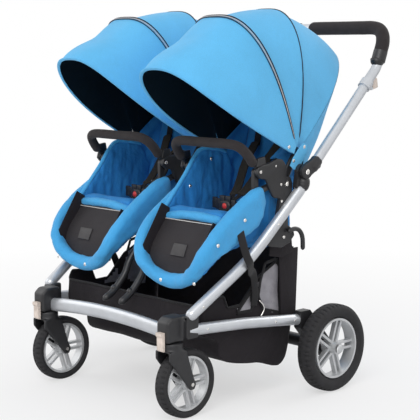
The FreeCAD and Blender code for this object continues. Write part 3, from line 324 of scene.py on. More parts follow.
def dome(centre, facing, radius, height, sides=14):
    """Shallow round head, as on a rivet or a press stud."""
    bm = bmesh.new()
    bmesh.ops.create_uvsphere(bm, u_segments=sides, v_segments=8, radius=radius)
    cut = bm.verts[:] + bm.edges[:] + bm.faces[:]
    bmesh.ops.bisect_plane(
        bm, geom=cut, plane_co=(0, 0, 0), plane_no=(0, 0, -1), clear_outer=True
    )
    bmesh.ops.holes_fill(bm, edges=[edge for edge in bm.edges if edge.is_boundary], sides=0)
    bmesh.ops.scale(bm, verts=bm.verts, vec=(1, 1, height / radius))
    turn = Vector(facing).to_track_quat("Z", "Y").to_matrix()
    bmesh.ops.rotate(bm, verts=bm.verts, cent=(0, 0, 0), matrix=turn)
    bmesh.ops.translate(bm, verts=bm.verts, vec=Vector(centre))
    bmesh.ops.recalc_face_normals(bm, faces=bm.faces)
    return bm


def joined(parts):
    """One bmesh that holds several separate ones."""
    whole = bmesh.new()
    for part in parts:
        mesh = bpy.data.meshes.new("part")
        part.to_mesh(mesh)
        part.free()
        whole.from_mesh(mesh)
        bpy.data.meshes.remove(mesh)
    return whole


def crumple(bm, depth, size, seed=0.0, stretch=(1, 1, 1)):
    """Push the cloth in and out along its normals in soft, uneven folds."""
    bm.normal_update()
    for vert in bm.verts:
        spot = Vector(a * b / size for a, b in zip(vert.co, stretch))
        fold = noise.noise(spot + Vector((seed, seed, seed)))
        fold += 0.5 * noise.noise(spot * 2.3 + Vector((seed, 5.0, seed)))
        vert.co += vert.normal * fold * depth


def evaluated_copy(piece):
    graph = bpy.context.evaluated_depsgraph_get()
    return bpy.data.meshes.new_from_object(piece.evaluated_get(graph))


def remeshed(piece, voxel):
    """Give a closed piece an even skin of small quads."""
    remesh = piece.modifiers.new("remesh", "REMESH")
    remesh.mode = "VOXEL"
    remesh.voxel_size = voxel
    even = evaluated_copy(piece)
    piece.modifiers.clear()
    finishes = list(piece.data.materials)
    piece.data = even
    even.materials.clear()
    for finish in finishes:
        even.materials.append(finish)
    for face in even.polygons:
        face.use_smooth = True
    return even


def stuffed(piece, cap, voxel=0.005, pressure=4.0):
    """Remesh a closed piece, blow it up as cloth, and hold each point within a cap."""
    even = remeshed(piece, voxel)
    start = [(vert.co.copy(), vert.normal.copy()) for vert in even.vertices]
    cloth = piece.modifiers.new("cloth", "CLOTH")
    cloth.settings.use_pressure = True
    cloth.settings.uniform_pressure_force = pressure
    cloth.settings.effector_weights.gravity = 0
    cloth.settings.quality = 4
    cloth.point_cache.frame_start = 1
    cloth.point_cache.frame_end = 20
    for moment in range(1, 21):
        bpy.context.scene.frame_set(moment)
    blown = evaluated_copy(piece)
    piece.modifiers.clear()
    for vert, grown, (home, facing) in zip(even.vertices, blown.vertices, start):
        swell = (grown.co - home).dot(facing)
        vert.co = home + facing * min(cap, max(0.0, swell))
    bpy.data.meshes.remove(blown)
    bpy.context.scene.frame_set(1)
    return piece


def smoothed(piece, repeat=4, factor=0.5):
    """Ease the steps that a remesh leaves."""
    bm = bmesh.new()
    bm.from_mesh(piece.data)
    for _ in range(repeat):
        bmesh.ops.smooth_vert(
            bm, verts=bm.verts, factor=factor, use_axis_x=True, use_axis_y=True, use_axis_z=True
        )
    bm.to_mesh(piece.data)
    bm.free()
    return piece


def softened(node, name, finish, shape=None, voxel=0.0022, rounds=9):
    """Copy of a casting with its edges worn round, after shape(bm) has trimmed it."""
    bm = bmesh.new()
    bm.from_mesh(frame["nodes"][node].data)
    bmesh.ops.remove_doubles(bm, verts=bm.verts, dist=1e-5)
    if shape:
        shape(bm)
    piece = new_piece(name, bm, finish, smooth=rounds > 0)
    if rounds:
        remeshed(piece, voxel)
        smoothed(piece, rounds)
    return piece


def cut_below(bm, height):
    """Take off what lies below a height and close the cut."""
    geom = bm.verts[:] + bm.edges[:] + bm.faces[:]
    bmesh.ops.bisect_plane(
        bm, geom=geom, plane_co=(0, 0, height), plane_no=(0, 0, -1), clear_outer=True
    )
    bmesh.ops.holes_fill(bm, edges=[edge for edge in bm.edges if edge.is_boundary], sides=0)


def subdivided(piece, levels=1):
    finer = piece.modifiers.new("finer", "SUBSURF")
    finer.levels = levels
    finer.render_levels = levels
    return piece


def walled(piece, thickness, offset=-1.0, inner=0):
    """Give a sheet its cloth thickness, with the lining on its inner side."""
    wall = piece.modifiers.new("wall", "SOLIDIFY")
    wall.thickness = thickness
    wall.offset = offset
    wall.use_even_offset = False
    wall.material_offset = inner
    wall.material_offset_rim = inner
    return piece


# ---------------------------------------------------------------- finishes


class Recipe:
    """Node material in the making: a shader, object coordinates and a few ready-made layers."""

    def __init__(self, name, colour, rough, metal=0.0, sheen=0.0):
        self.material = bpy.data.materials.new(name)
        self.material.use_nodes = True
        self.tree = self.material.node_tree
        self.shader = self.tree.nodes["Principled BSDF"]
        self.shader.inputs["Base Color"].default_value = (*colour, 1)
        self.shader.inputs["Roughness"].default_value = rough
        self.shader.inputs["Metallic"].default_value = metal
        self.shader.inputs["Sheen Weight"].default_value = sheen
        self.colour, self.rough = colour, rough
        self.place = self.add("TexCoord").outputs["Object"]
        self.height = None
        FINISHES[name] = self.material

    def add(self, kind, **values):
        item = self.tree.nodes.new(f"ShaderNode{kind}")
        for key, value in values.items():
            item.inputs[key.replace("_", " ")].default_value = value
        return item

    def join(self, source, target):
        self.tree.links.new(source, target)

    def noise(self, scale, detail=3.0, distortion=0.0, stretch=None):
        texture = self.add("TexNoise", Scale=scale, Detail=detail, Distortion=distortion)
        place = self.place
        if stretch:
            mapping = self.add("Mapping", Scale=stretch)
            self.join(place, mapping.inputs["Vector"])
            place = mapping.outputs["Vector"]
        self.join(place, texture.inputs["Vector"])
        return texture.outputs["Fac"]

    def ramp(self, factor, low, high, ends=(0.3, 0.7)):
        ramp = self.add("ValToRGB")
        for stop, at, colour in zip(ramp.color_ramp.elements, ends, (low, high)):
            stop.position = at
            stop.color = (*colour, 1)
        self.join(factor, ramp.inputs["Fac"])
        return ramp.outputs["Color"]

    def shade(self, factor, darker, lighter):
        low = [min(1.0, part * darker) for part in self.colour]
        high = [min(1.0, part * lighter) for part in self.colour]
        return self.ramp(factor, low, high)

    def mix(self, factor, first, second):
        mix = self.tree.nodes.new("ShaderNodeMix")
        mix.data_type = "RGBA"
        self.join(factor, mix.inputs["Factor"])
        self.join(first, mix.inputs["A"])
        self.join(second, mix.inputs["B"])
        return mix.outputs["Result"]

    def colour_from(self, output):
        self.join(output, self.shader.inputs["Base Color"])

    def rough_from(self, factor, spread):
        reach = self.add("MapRange", To_Min=self.rough - spread, To_Max=self.rough + spread)
        self.join(factor, reach.inputs["Value"])
        self.join(reach.outputs["Result"], self.shader.inputs["Roughness"])

    def bump(self, height, strength, distance):
        bump = self.add("Bump", Strength=strength, Distance=distance)
        self.join(height, bump.inputs["Height"])
        if self.height:
            self.join(self.height, bump.inputs["Normal"])
        self.height = bump.outputs["Normal"]
        self.join(self.height, self.shader.inputs["Normal"])

    def threads(self, pitch):
        """Fine crossed threads that show on faces of any direction."""
        total = None
        for direction in "XYZ":
            wave = self.add("TexWave", Scale=0.314 / pitch, Distortion=0.4, Detail=1.0)
            wave.bands_direction = direction
            self.join(self.place, wave.inputs["Vector"])
            if total is None:
                total = wave.outputs["Fac"]
                continue
            both = self.add("Math")
            both.operation = "ADD"
            self.join(total, both.inputs[0])
            self.join(wave.outputs["Fac"], both.inputs[1])
            total = both.outputs["Value"]
        return total


def make_cloth(name, colour, rough=0.72, sheen=0.12, pitch=0.0012, creases=0.35, fold=22):
    recipe = Recipe(name, colour, rough, sheen=sheen)
    if max(colour) < 0.1:
        recipe.shader.inputs["Specular IOR Level"].default_value = 0.2
    drift = recipe.noise(9, 4, 0.3)
    grain = recipe.noise(420, 2)
    tone = recipe.shade(drift, 0.88, 1.08)
    fleck = recipe.shade(grain, 0.9, 1.1)
    half = recipe.noise(60, 2)
    recipe.colour_from(recipe.mix(half, tone, fleck))
    recipe.rough_from(grain, 0.07)
    recipe.bump(recipe.noise(fold, 5, 0.8), creases, 0.006)
    recipe.bump(recipe.threads(pitch), 0.25, 0.0004)
    return recipe


def make_net(name, colour, pitch=0.0032):
    """Knitted net: dark threads with open holes between them."""
    recipe = Recipe(name, colour, 0.8)
    steps = recipe.ramp(recipe.threads(pitch), (0.35,) * 3, (1.0,) * 3, (0.42, 0.62))
    split = recipe.add("SeparateColor")
    recipe.join(steps, split.inputs["Color"])
    recipe.join(split.outputs["Red"], recipe.shader.inputs["Alpha"])
    recipe.colour_from(recipe.shade(recipe.noise(30, 3), 0.8, 1.2))
    recipe.bump(recipe.threads(pitch), 0.4, 0.0006)


def make_plastic(name, colour, rough=0.42, grain=850):
    recipe = Recipe(name, colour, rough)
    wear = recipe.noise(38, 5, 0.6)
    recipe.colour_from(recipe.shade(wear, 0.85, 1.25))
    recipe.rough_from(recipe.noise(55, 4), 0.08)
    recipe.bump(recipe.noise(grain, 2), 0.18, 0.0004)
    return recipe


def make_metal(name, colour, rough, metal, brushed=(1, 1, 1)):
    recipe = Recipe(name, colour, rough, metal=metal)
    recipe.colour_from(recipe.shade(recipe.noise(26, 4), 0.94, 1.05))
    recipe.rough_from(recipe.noise(120, 4, stretch=brushed), 0.06)
    recipe.bump(recipe.noise(600, 2, stretch=brushed), 0.05, 0.0003)
    return recipe


def make_rubber():
    recipe = Recipe("tyre_rubber", (0.014, 0.0135, 0.015), 0.8)
    dust = recipe.noise(45, 6, 0.5)
    recipe.colour_from(recipe.shade(dust, 0.75, 1.7))
    recipe.rough_from(dust, 0.1)
    recipe.bump(recipe.noise(700, 3), 0.3, 0.0005)


def make_foam():
    recipe = Recipe("foam_grip", (0.022, 0.018, 0.019), 0.92, sheen=0.04)
    cells = recipe.add("TexVoronoi", Scale=650)
    recipe.join(recipe.place, cells.inputs["Vector"])
    recipe.colour_from(recipe.shade(recipe.noise(70, 4), 0.82, 1.15))
    recipe.bump(recipe.noise(40, 3), 0.12, 0.002)
    recipe.bump(cells.outputs["Distance"], 0.45, 0.0007)


def make_finishes(colours):
    make_cloth("canopy_blue", tuple(colours.canopy), creases=0.22, fold=16)
    make_cloth("seat_blue", tuple(colours.seat), creases=0.75, fold=20)
    # Darker, deeper copy of the seat cloth for the walls, cushion, base, backrest and wings:
    # painted shade standing for the hood's shadow inside the seats
    make_cloth("seat_inner", tuple(colours.inner), rough=0.8, sheen=0.05, creases=0.8, fold=18)
    make_cloth("lining_navy", tuple(colours.lining), rough=0.9, sheen=0.0, creases=0.3)
    make_cloth("flap_grey", tuple(colours.flap), sheen=0.06, pitch=0.0016, creases=0.3, fold=14)
    make_cloth("pad_olive", (0.040, 0.036, 0.030), sheen=0.06, pitch=0.002, creases=0.3)
    make_cloth("basket_black", tuple(colours.basket), sheen=0.05, creases=0.6, fold=12)
    make_cloth("webbing_black", (0.014, 0.0135, 0.015), pitch=0.0022, creases=0.1)
    make_cloth("navy_piping", (0.006, 0.012, 0.035), rough=0.5, creases=0.1)
    make_cloth("pale_piping", (0.62, 0.60, 0.58), rough=0.6, creases=0.1)
    make_net("window_net", (0.34, 0.33, 0.36))
    make_plastic("black_plastic", tuple(colours.plastic))
    make_plastic("soft_patch", (0.035, 0.033, 0.035), rough=0.6, grain=500)
    make_plastic("release_red", (0.62, 0.035, 0.03), rough=0.35)
    make_plastic("trim_white", tuple(colours.trim), rough=0.4)
    make_metal("black_metal", (0.018, 0.018, 0.020), 0.38, 0.0)
    make_metal("frame_silver", tuple(colours.silver), 0.33, 0.55, (1, 6, 6))
    make_metal("rim_silver", (0.60, 0.61, 0.62), 0.36, 0.45)
    make_metal("steel", (0.74, 0.72, 0.69), 0.24, 1.0)
    make_rubber()
    make_foam()


# ---------------------------------------------------------------- settings


class StrollerColours(bpy.types.PropertyGroup):
    """Colours of the stroller's cloth, plastic and metal."""

    canopy: FloatVectorProperty(
        name="Canopy", description="Cloth of the hoods", subtype="COLOR",
        default=(0.115, 0.50, 0.86)
    )
    seat: FloatVectorProperty(
        name="Seat", description="Cloth of the seats", subtype="COLOR", default=(0.055, 0.40, 0.80)
    )
    # Darker copy of the seat colour: painted shade for the inside of the seats under the hood
    inner: FloatVectorProperty(
        name="Seat inside", description="Cloth inside the seats", subtype="COLOR",
        default=(0.018, 0.24, 0.62)
    )
    lining: FloatVectorProperty(
        name="Lining", description="Inside of the hoods", subtype="COLOR",
        default=(0.0005, 0.010, 0.020)
    )
    flap: FloatVectorProperty(
        name="Calf flap", description="Cloth behind the legs", subtype="COLOR",
        default=(0.030, 0.027, 0.030)
    )
    basket: FloatVectorProperty(
        name="Basket", description="Cloth of the basket", subtype="COLOR",
        default=(0.017, 0.014, 0.017)
    )
    plastic: FloatVectorProperty(
        name="Plastic", description="Castings, knuckles and fittings", subtype="COLOR",
        default=(0.016, 0.016, 0.018)
    )
    silver: FloatVectorProperty(
        name="Silver", description="Frame tubes", subtype="COLOR", default=(0.60, 0.62, 0.65)
    )
    trim: FloatVectorProperty(
        name="Levers", description="Swivel locks and release rings", subtype="COLOR",
        default=(0.72, 0.62, 0.55)
    )


class StrollerSizes(bpy.types.PropertyGroup):
    """Sizes of the stroller's cloth and foam that can be changed."""

    piping: FloatProperty(
        name="Piping", description="Radius of the hoods' piping", default=0.0017, unit="LENGTH"
    )
    hood_sag: FloatProperty(
        name="Hood sag", description="How far the cloth sinks between two bows", default=0.007,
        unit="LENGTH"
    )
    roll: FloatProperty(
        name="Roll", description="Radius of the padded rim round the feet", default=0.0175,
        unit="LENGTH"
    )
    strap: FloatProperty(
        name="Strap", description="Width of the harness webbing", default=0.024, unit="LENGTH"
    )
    padding: FloatProperty(
        name="Padding", description="How far the seat pads swell", default=0.007, unit="LENGTH"
    )


# ---------------------------------------------------------------- pieces


class StageOperator(bpy.types.Operator):
    """Set the floor, the lamps, the background and the camera."""

    bl_idname = "stroller.stage"
    bl_label = "Stage"

    def execute(self, context):
        self.make_floor()
        self.make_lamps(context)
        self.make_world(context)
        self.make_camera(context)
        return {"FINISHED"}

    def make_floor(self):
        bm = bmesh.new()
        bmesh.ops.create_circle(bm, cap_ends=True, segments=96, radius=14)
        recipe = Recipe("floor_white", (0.86, 0.86, 0.87), 0.9)
        reach = recipe.add("VectorMath")
        reach.operation = "LENGTH"
        recipe.join(recipe.place, reach.inputs[0])
        spread = recipe.add("MapRange", From_Min=0.2, From_Max=2.4, To_Min=0.55)
        recipe.join(reach.outputs["Value"], spread.inputs["Value"])
        seen = recipe.add("LightPath")
        glow = recipe.add("Emission", Strength=1.0)
        glow.inputs["Color"].default_value = (1, 1, 1, 1)
        far = recipe.add("Math")
        far.operation = "MULTIPLY"
        recipe.join(spread.outputs["Result"], far.inputs[0])
        recipe.join(seen.outputs["Is Camera Ray"], far.inputs[1])
        both = recipe.add("MixShader")
        recipe.join(far.outputs["Value"], both.inputs["Fac"])
        recipe.join(recipe.shader.outputs["BSDF"], both.inputs[1])
        recipe.join(glow.outputs["Emission"], both.inputs[2])
        recipe.join(both.outputs["Shader"], recipe.tree.nodes["Material Output"].inputs["Surface"])
        floor = new_piece("floor", bm, "floor_white", smooth=False)
        floor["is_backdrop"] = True

    def make_lamps(self, context):
        for name, place, size, power in (
            ("key_lamp", (1.9, -2.6, 3.0), 2.6, 74),
            ("fill_lamp", (-3.0, -1.6, 2.0), 3.0, 27),
            ("rim_lamp", (0.4, 3.0, 2.6), 2.4, 30),
        ):
            light = bpy.data.lights.new(name, "AREA")
            light.shape = "DISK"
            light.size = size
            light.energy = power
            lamp = bpy.data.objects.new(name, light)
            lamp.location = place
            lamp.rotation_euler = (
                Vector((0, 0, 0.5)) - Vector(place)
            ).to_track_quat("-Z", "Y").to_euler()
            context.scene.collection.objects.link(lamp)

    def make_world(self, context):
        world = bpy.data.worlds.new("studio")
        context.scene.world = world
        world.use_nodes = True
        tree = world.node_tree
        path = tree.nodes.new("ShaderNodeLightPath")
        total = path.outputs["Is Camera Ray"]
        for ray in ("Is Glossy Ray", "Is Transmission Ray"):
            either = tree.nodes.new("ShaderNodeMath")
            either.operation = "MAXIMUM"
            tree.links.new(total, either.inputs[0])
            tree.links.new(path.outputs[ray], either.inputs[1])
            total = either.outputs["Value"]
        strength = tree.nodes.new("ShaderNodeMapRange")
        strength.inputs["To Min"].default_value = 0.52
        strength.inputs["To Max"].default_value = 1.0
        tree.links.new(total, strength.inputs["Value"])
        back = tree.nodes["Background"]
        back.inputs["Color"].default_value = (1, 1, 1, 1)
        tree.links.new(strength.outputs["Result"], back.inputs["Strength"])

    def make_camera(self, context):
        camera = bpy.data.cameras.new("camera")
        camera.lens = 106.35
        camera.sensor_width = 36
        holder = bpy.data.objects.new("camera", camera)
        holder.location = (2.56274, -2.42214, 0.95551)
        aim = Vector((0, 0.0315, 0.4842)) - holder.location
        holder.rotation_euler = aim.to_track_quat("-Z", "Y").to_euler()
        context.scene.collection.objects.link(holder)
        context.scene.camera = holder
        context.scene.view_settings.view_transform = "Standard"


class FrameOperator(bpy.types.Operator):
    """Give the rigid frame its finishes and set rivets along its tubes."""

    bl_idname = "stroller.frame"
    bl_label = "Frame"

    WEAR = {
        "frame_silver": (
            "lower_rails", "handle_tube", "release_ring_right", "release_ring_left",
        ),
        "black_plastic": ("rear_brackets", "seat_arms", "handle_collars", "brake_pedal"),
        "black_metal": ("rear_axle", "bumper_bar_right", "bumper_bar_left"),
        "trim_white": ("swivel_lock_right", "swivel_lock_left"),
        "steel": ("front_pin_right", "front_pin_left"),
        "rim_silver": ("front_rim_right", "front_rim_left", "rear_rim_right", "rear_rim_left"),
    }

    def execute(self, context):
        for finish, names in self.WEAR.items():
            for name in names:
                node = frame["nodes"][name]
                for place in node.material_slots:
                    place.material = FINISHES[finish]
        heads = []
        for run, splay, foot, top in (
            (60, 3.2, (0.291, -0.330), 0.233),
            (300, 3.2, (0.291, -0.330), 0.2167),
            (372, 3.2, (0.291, -0.330), 0.2100),
            (40, 7.5, (0.298, -0.333), 0.2953),
            (190, 7.5, (0.298, -0.333), 0.3978),
            (286, 7.5, (0.298, -0.333), 0.4865),
        ):
            turn = math.radians(splay)
            out = Vector((math.cos(turn), -math.sin(turn), 0))
            along = Vector((math.sin(turn), math.cos(turn), 0)) * run / 1000
            spot = Vector((*foot, top)) + along + out * 0.0147
            heads.append(dome(spot, out, 0.0032, 0.0012))
        for x, y, z, radius in (
            (0.3343, -0.003, 0.590, 0.0065),
            (0.3343, -0.024, 0.545, 0.0040),
            (0.3664, 0.042, 0.621, 0.0075),
            (0.3318, -0.012, 0.447, 0.0048),
        ):
            heads.append(dome((x, y, z), (1, 0, 0), radius, radius * 0.4))
        rivets = new_piece("frame_rivets_right", joined(heads), "steel")
        settle(rivets, "chassis")
        self.make_castings()
        self.make_front_bar()
        self.make_sides()
        return {"FINISHED"}

    def on_side(self, y, z):
        """Point on the right-hand side tube, which splays outwards towards the back."""
        return (SIDE_FRONT_X + SIDE_SPLAY * (y - SIDE_FRONT_Y), y, z)

    def make_sides(self):
        """Long side tubes, with the brackets, hooks and uprights behind them."""
        path = [
            (-0.333, 0.268), (-0.240, 0.330), (-0.160, 0.384), (-0.110, 0.426),
            (-0.066, 0.469), (0.003, 0.540), (0.034, 0.572), (0.042, 0.582),
        ]
        run = even_run(smooth_run([self.on_side(y, z) for y, z in path]), 80)
        tubes = [round_tube(run, TUBE_RADIUS, 24), mirrored(round_tube(run, TUBE_RADIUS, 24))]
        main = new_piece("side_tubes", joined(tubes), "frame_silver")
        settle(main, "chassis", ["main_tubes"], pair=False)
        outline = [
            (-0.092, 0.438), (-0.040, 0.488), (-0.004, 0.524), (0.003, 0.512), (0.005, 0.478),
            (0.026, 0.463), (0.030, 0.448), (0.012, 0.430), (-0.021, 0.419), (-0.060, 0.425),
        ]
        neck = [(0.033, 0.570), (0.039, 0.577), (0.044, 0.586), (0.045, 0.597), (0.043, 0.610)]
        run = smooth_run([self.on_side(y, z) for y, z in neck])
        plates = []
        for left in (False, True):
            plate = slab([(0.321, *spot) for spot in outline], (0.011, 0, 0), 0.0025)
            sleeve = round_tube(even_run(run, 24), 0.0178, 20)
            plates += [mirrored(plate), mirrored(sleeve)] if left else [plate, sleeve]
        brackets = new_piece("side_brackets", joined(plates), "black_plastic")
        settle(brackets, "chassis", ["frame_brackets"], pair=False)
        arch = [(-0.006, 0.462), (0.020, 0.467), (0.040, 0.460), (0.052, 0.440), (0.054, 0.406)]
        run = even_run(smooth_run([(0.3400, *spot) for spot in arch]), 30)
        hook = new_piece("side_hook_right", round_tube(run, 0.0062, 14), "black_plastic")
        settle(hook, "transport_hook_right", ["transport_hook_right"])
        posts = []
        for x in (0.276, -0.276):
            rise = [Vector((x, 0.078 - 0.004 * n, 0.236 + 0.0165 * n)) for n in range(13)]
            posts.append(round_tube(rise, 0.008, 12))
        uprights = new_piece("rear_uprights", joined(posts), "black_metal")
        settle(uprights, "chassis", ["uprights"], pair=False)

    def make_castings(self):
        """Round off the plastic castings, and draw in the tall front ones."""

        def lowered(bm):
            for vert in bm.verts:
                if vert.co.z > 0.245:
                    vert.co.z = 0.245 + (vert.co.z - 0.245) * 0.66
                across = abs(vert.co.x)
                if across > 0.289:
                    vert.co.x = math.copysign(0.289 + (across - 0.289) * 0.6, vert.co.x)

        for node, shape, rounds in (
            ("caster_housings", lowered, 22),
            ("lower_knuckles", lambda bm: cut_below(bm, 0.578), 0),
            ("upper_knuckles", None, 5),
            ("seat_hubs", None, 8),
        ):
            casting = softened(node, f"{node}_rounded", "black_plastic", shape, rounds=rounds)
            body = "push_handle" if node == "upper_knuckles" else "chassis"
            settle(casting, body, [node], pair=False)
        fork = softened(
            "caster_fork_right", "caster_fork_rounded_right", "black_plastic", rounds=12
        )
        settle(fork, "caster_right", ["caster_fork_right"])

    def make_front_bar(self):
        """Arched oval bar between the front castings, and the posts behind it."""
        run = [
            Vector((x / 100, -0.350, 0.2245 + 0.0145 * (1 - (x / 25) ** 2))) for x in range(-25, 26)
        ]

        def oval(turn, share, point):
            c, s = math.cos(turn), math.sin(turn)
            return 0.0125 * math.copysign(abs(c) ** 0.8, c), 0.0188 * math.copysign(
                abs(s) ** 0.8, s
            )

        bar = new_piece("front_bar", swept(run, oval, 28, (0, 1, 0)), "frame_silver")
        settle(bar, "chassis", ["front_cross_tube"], pair=False)
        posts = []
        for side in (1, -1):
            x = side * 0.034
            path = smooth_run([
                (x, -0.338, 0.268), (x, -0.300, 0.290), (x, -0.262, 0.330), (x, -0.240, 0.372),
                (x, -0.190, 0.425), (x, -0.100, 0.505), (x, -0.020, 0.585), (x, 0.000, 0.606),
            ])
            posts.append(round_tube(even_run(path, 60), 0.0095, 14))
            posts.append(dome((x, -0.303, 0.300), (0, -0.6, 0.8), 0.008, 0.004))
        cross = [Vector((x / 100, 0, 0.606)) for x in range(-5, 6)]
        posts.append(round_tube(cross, 0.0085, 14))
        frame_posts = new_piece("centre_posts", joined(posts), "black_metal")
        settle(frame_posts, "chassis", ["centre_frame"], pair=False)


class WheelsOperator(bpy.types.Operator):
    """Build the four treaded tyres and the hub caps."""

    bl_idname = "stroller.wheels"
    bl_label = "Wheels"

    def execute(self, context):
        self.make_wheel("front", 0.264, (-0.3105, 0.091), 0.091, 0.072, 0.020, 60)
        self.make_wheel("rear", 0.358, (0.1575, 0.122), 0.122, 0.084, 0.025, 76)
        return {"FINISHED"}

    def make_wheel(self, end, x, centre, outer, rim, half, blocks):
        bm = bmesh.new()
        depth = outer - rim
        profile = [
            (-0.55, 0.02), (-0.72, 0.12), (-0.95, 0.34), (-1.0, 0.52), (-0.97, 0.70),
            (-0.84, 0.88), (-0.62, 0.975), (-0.25, 1.0), (0.25, 1.0), (0.62, 0.975),
            (0.84, 0.88), (0.97, 0.70), (1.0, 0.52), (0.95, 0.34), (0.72, 0.12), (0.55, 0.02),
        ]
        verts = [
            bm.verts.new((x + across * half * 0.985, centre[0], centre[1] + rim + up * depth))
            for across, up in profile
        ]
        edges = [bm.edges.new(pair) for pair in zip(verts, verts[1:] + verts[:1])]
        bmesh.ops.spin(
            bm, geom=verts + edges, cent=(x, *centre), axis=(1, 0, 0),
            angle=math.tau, steps=blocks * 2, use_merge=True,
        )
        bmesh.ops.remove_doubles(bm, verts=bm.verts, dist=1e-5)
        bmesh.ops.recalc_face_normals(bm, faces=bm.faces)
        hub = Vector((x, *centre))
        crown = []
        for face in bm.faces:
            spot = face.calc_center_median() - hub
            reach = math.hypot(spot.y, spot.z)
            place = math.atan2(spot.z, spot.y) / math.tau * blocks * 2
            stagger = 1 if spot.x > 0.3 * half else 0
            side = abs(spot.x) > 0.3 * half and abs(spot.x) < 0.93 * half
            if reach > rim + 0.86 * depth and side and (int(place // 1) + stagger) % 3 == 0:
                crown.append(face)
        bmesh.ops.inset_individual(bm, faces=crown, thickness=0.0006, depth=-0.0014)
        tyre = new_piece(f"{end}_tread_right", bm, "tyre_rubber")
        settle(tyre, f"{end}_wheel_right", [f"{end}_tyre_right"])
        caps = []
        if end == "rear":
            caps.append(dome((x + half + 0.0052, *centre), (1, 0, 0), 0.0125, 0.005, 24))
        ring = [
            Vector((x + half * 0.86, centre[0] + math.cos(n * math.tau / 5) * 0.011,
                    centre[1] + math.sin(n * math.tau / 5) * 0.011))
            for n in range(5)
        ]
        if caps:
            cap = new_piece("rear_hub_cap_right", joined(caps), "rim_silver")
            settle(cap, "chassis")
        screws = [dome(spot, (1, 0, 0), 0.0022, 0.0010, 8) for spot in ring]
        bolts = new_piece(f"{end}_hub_screws_right", joined(screws), "steel")
        settle(bolts, f"{end}_wheel_right")


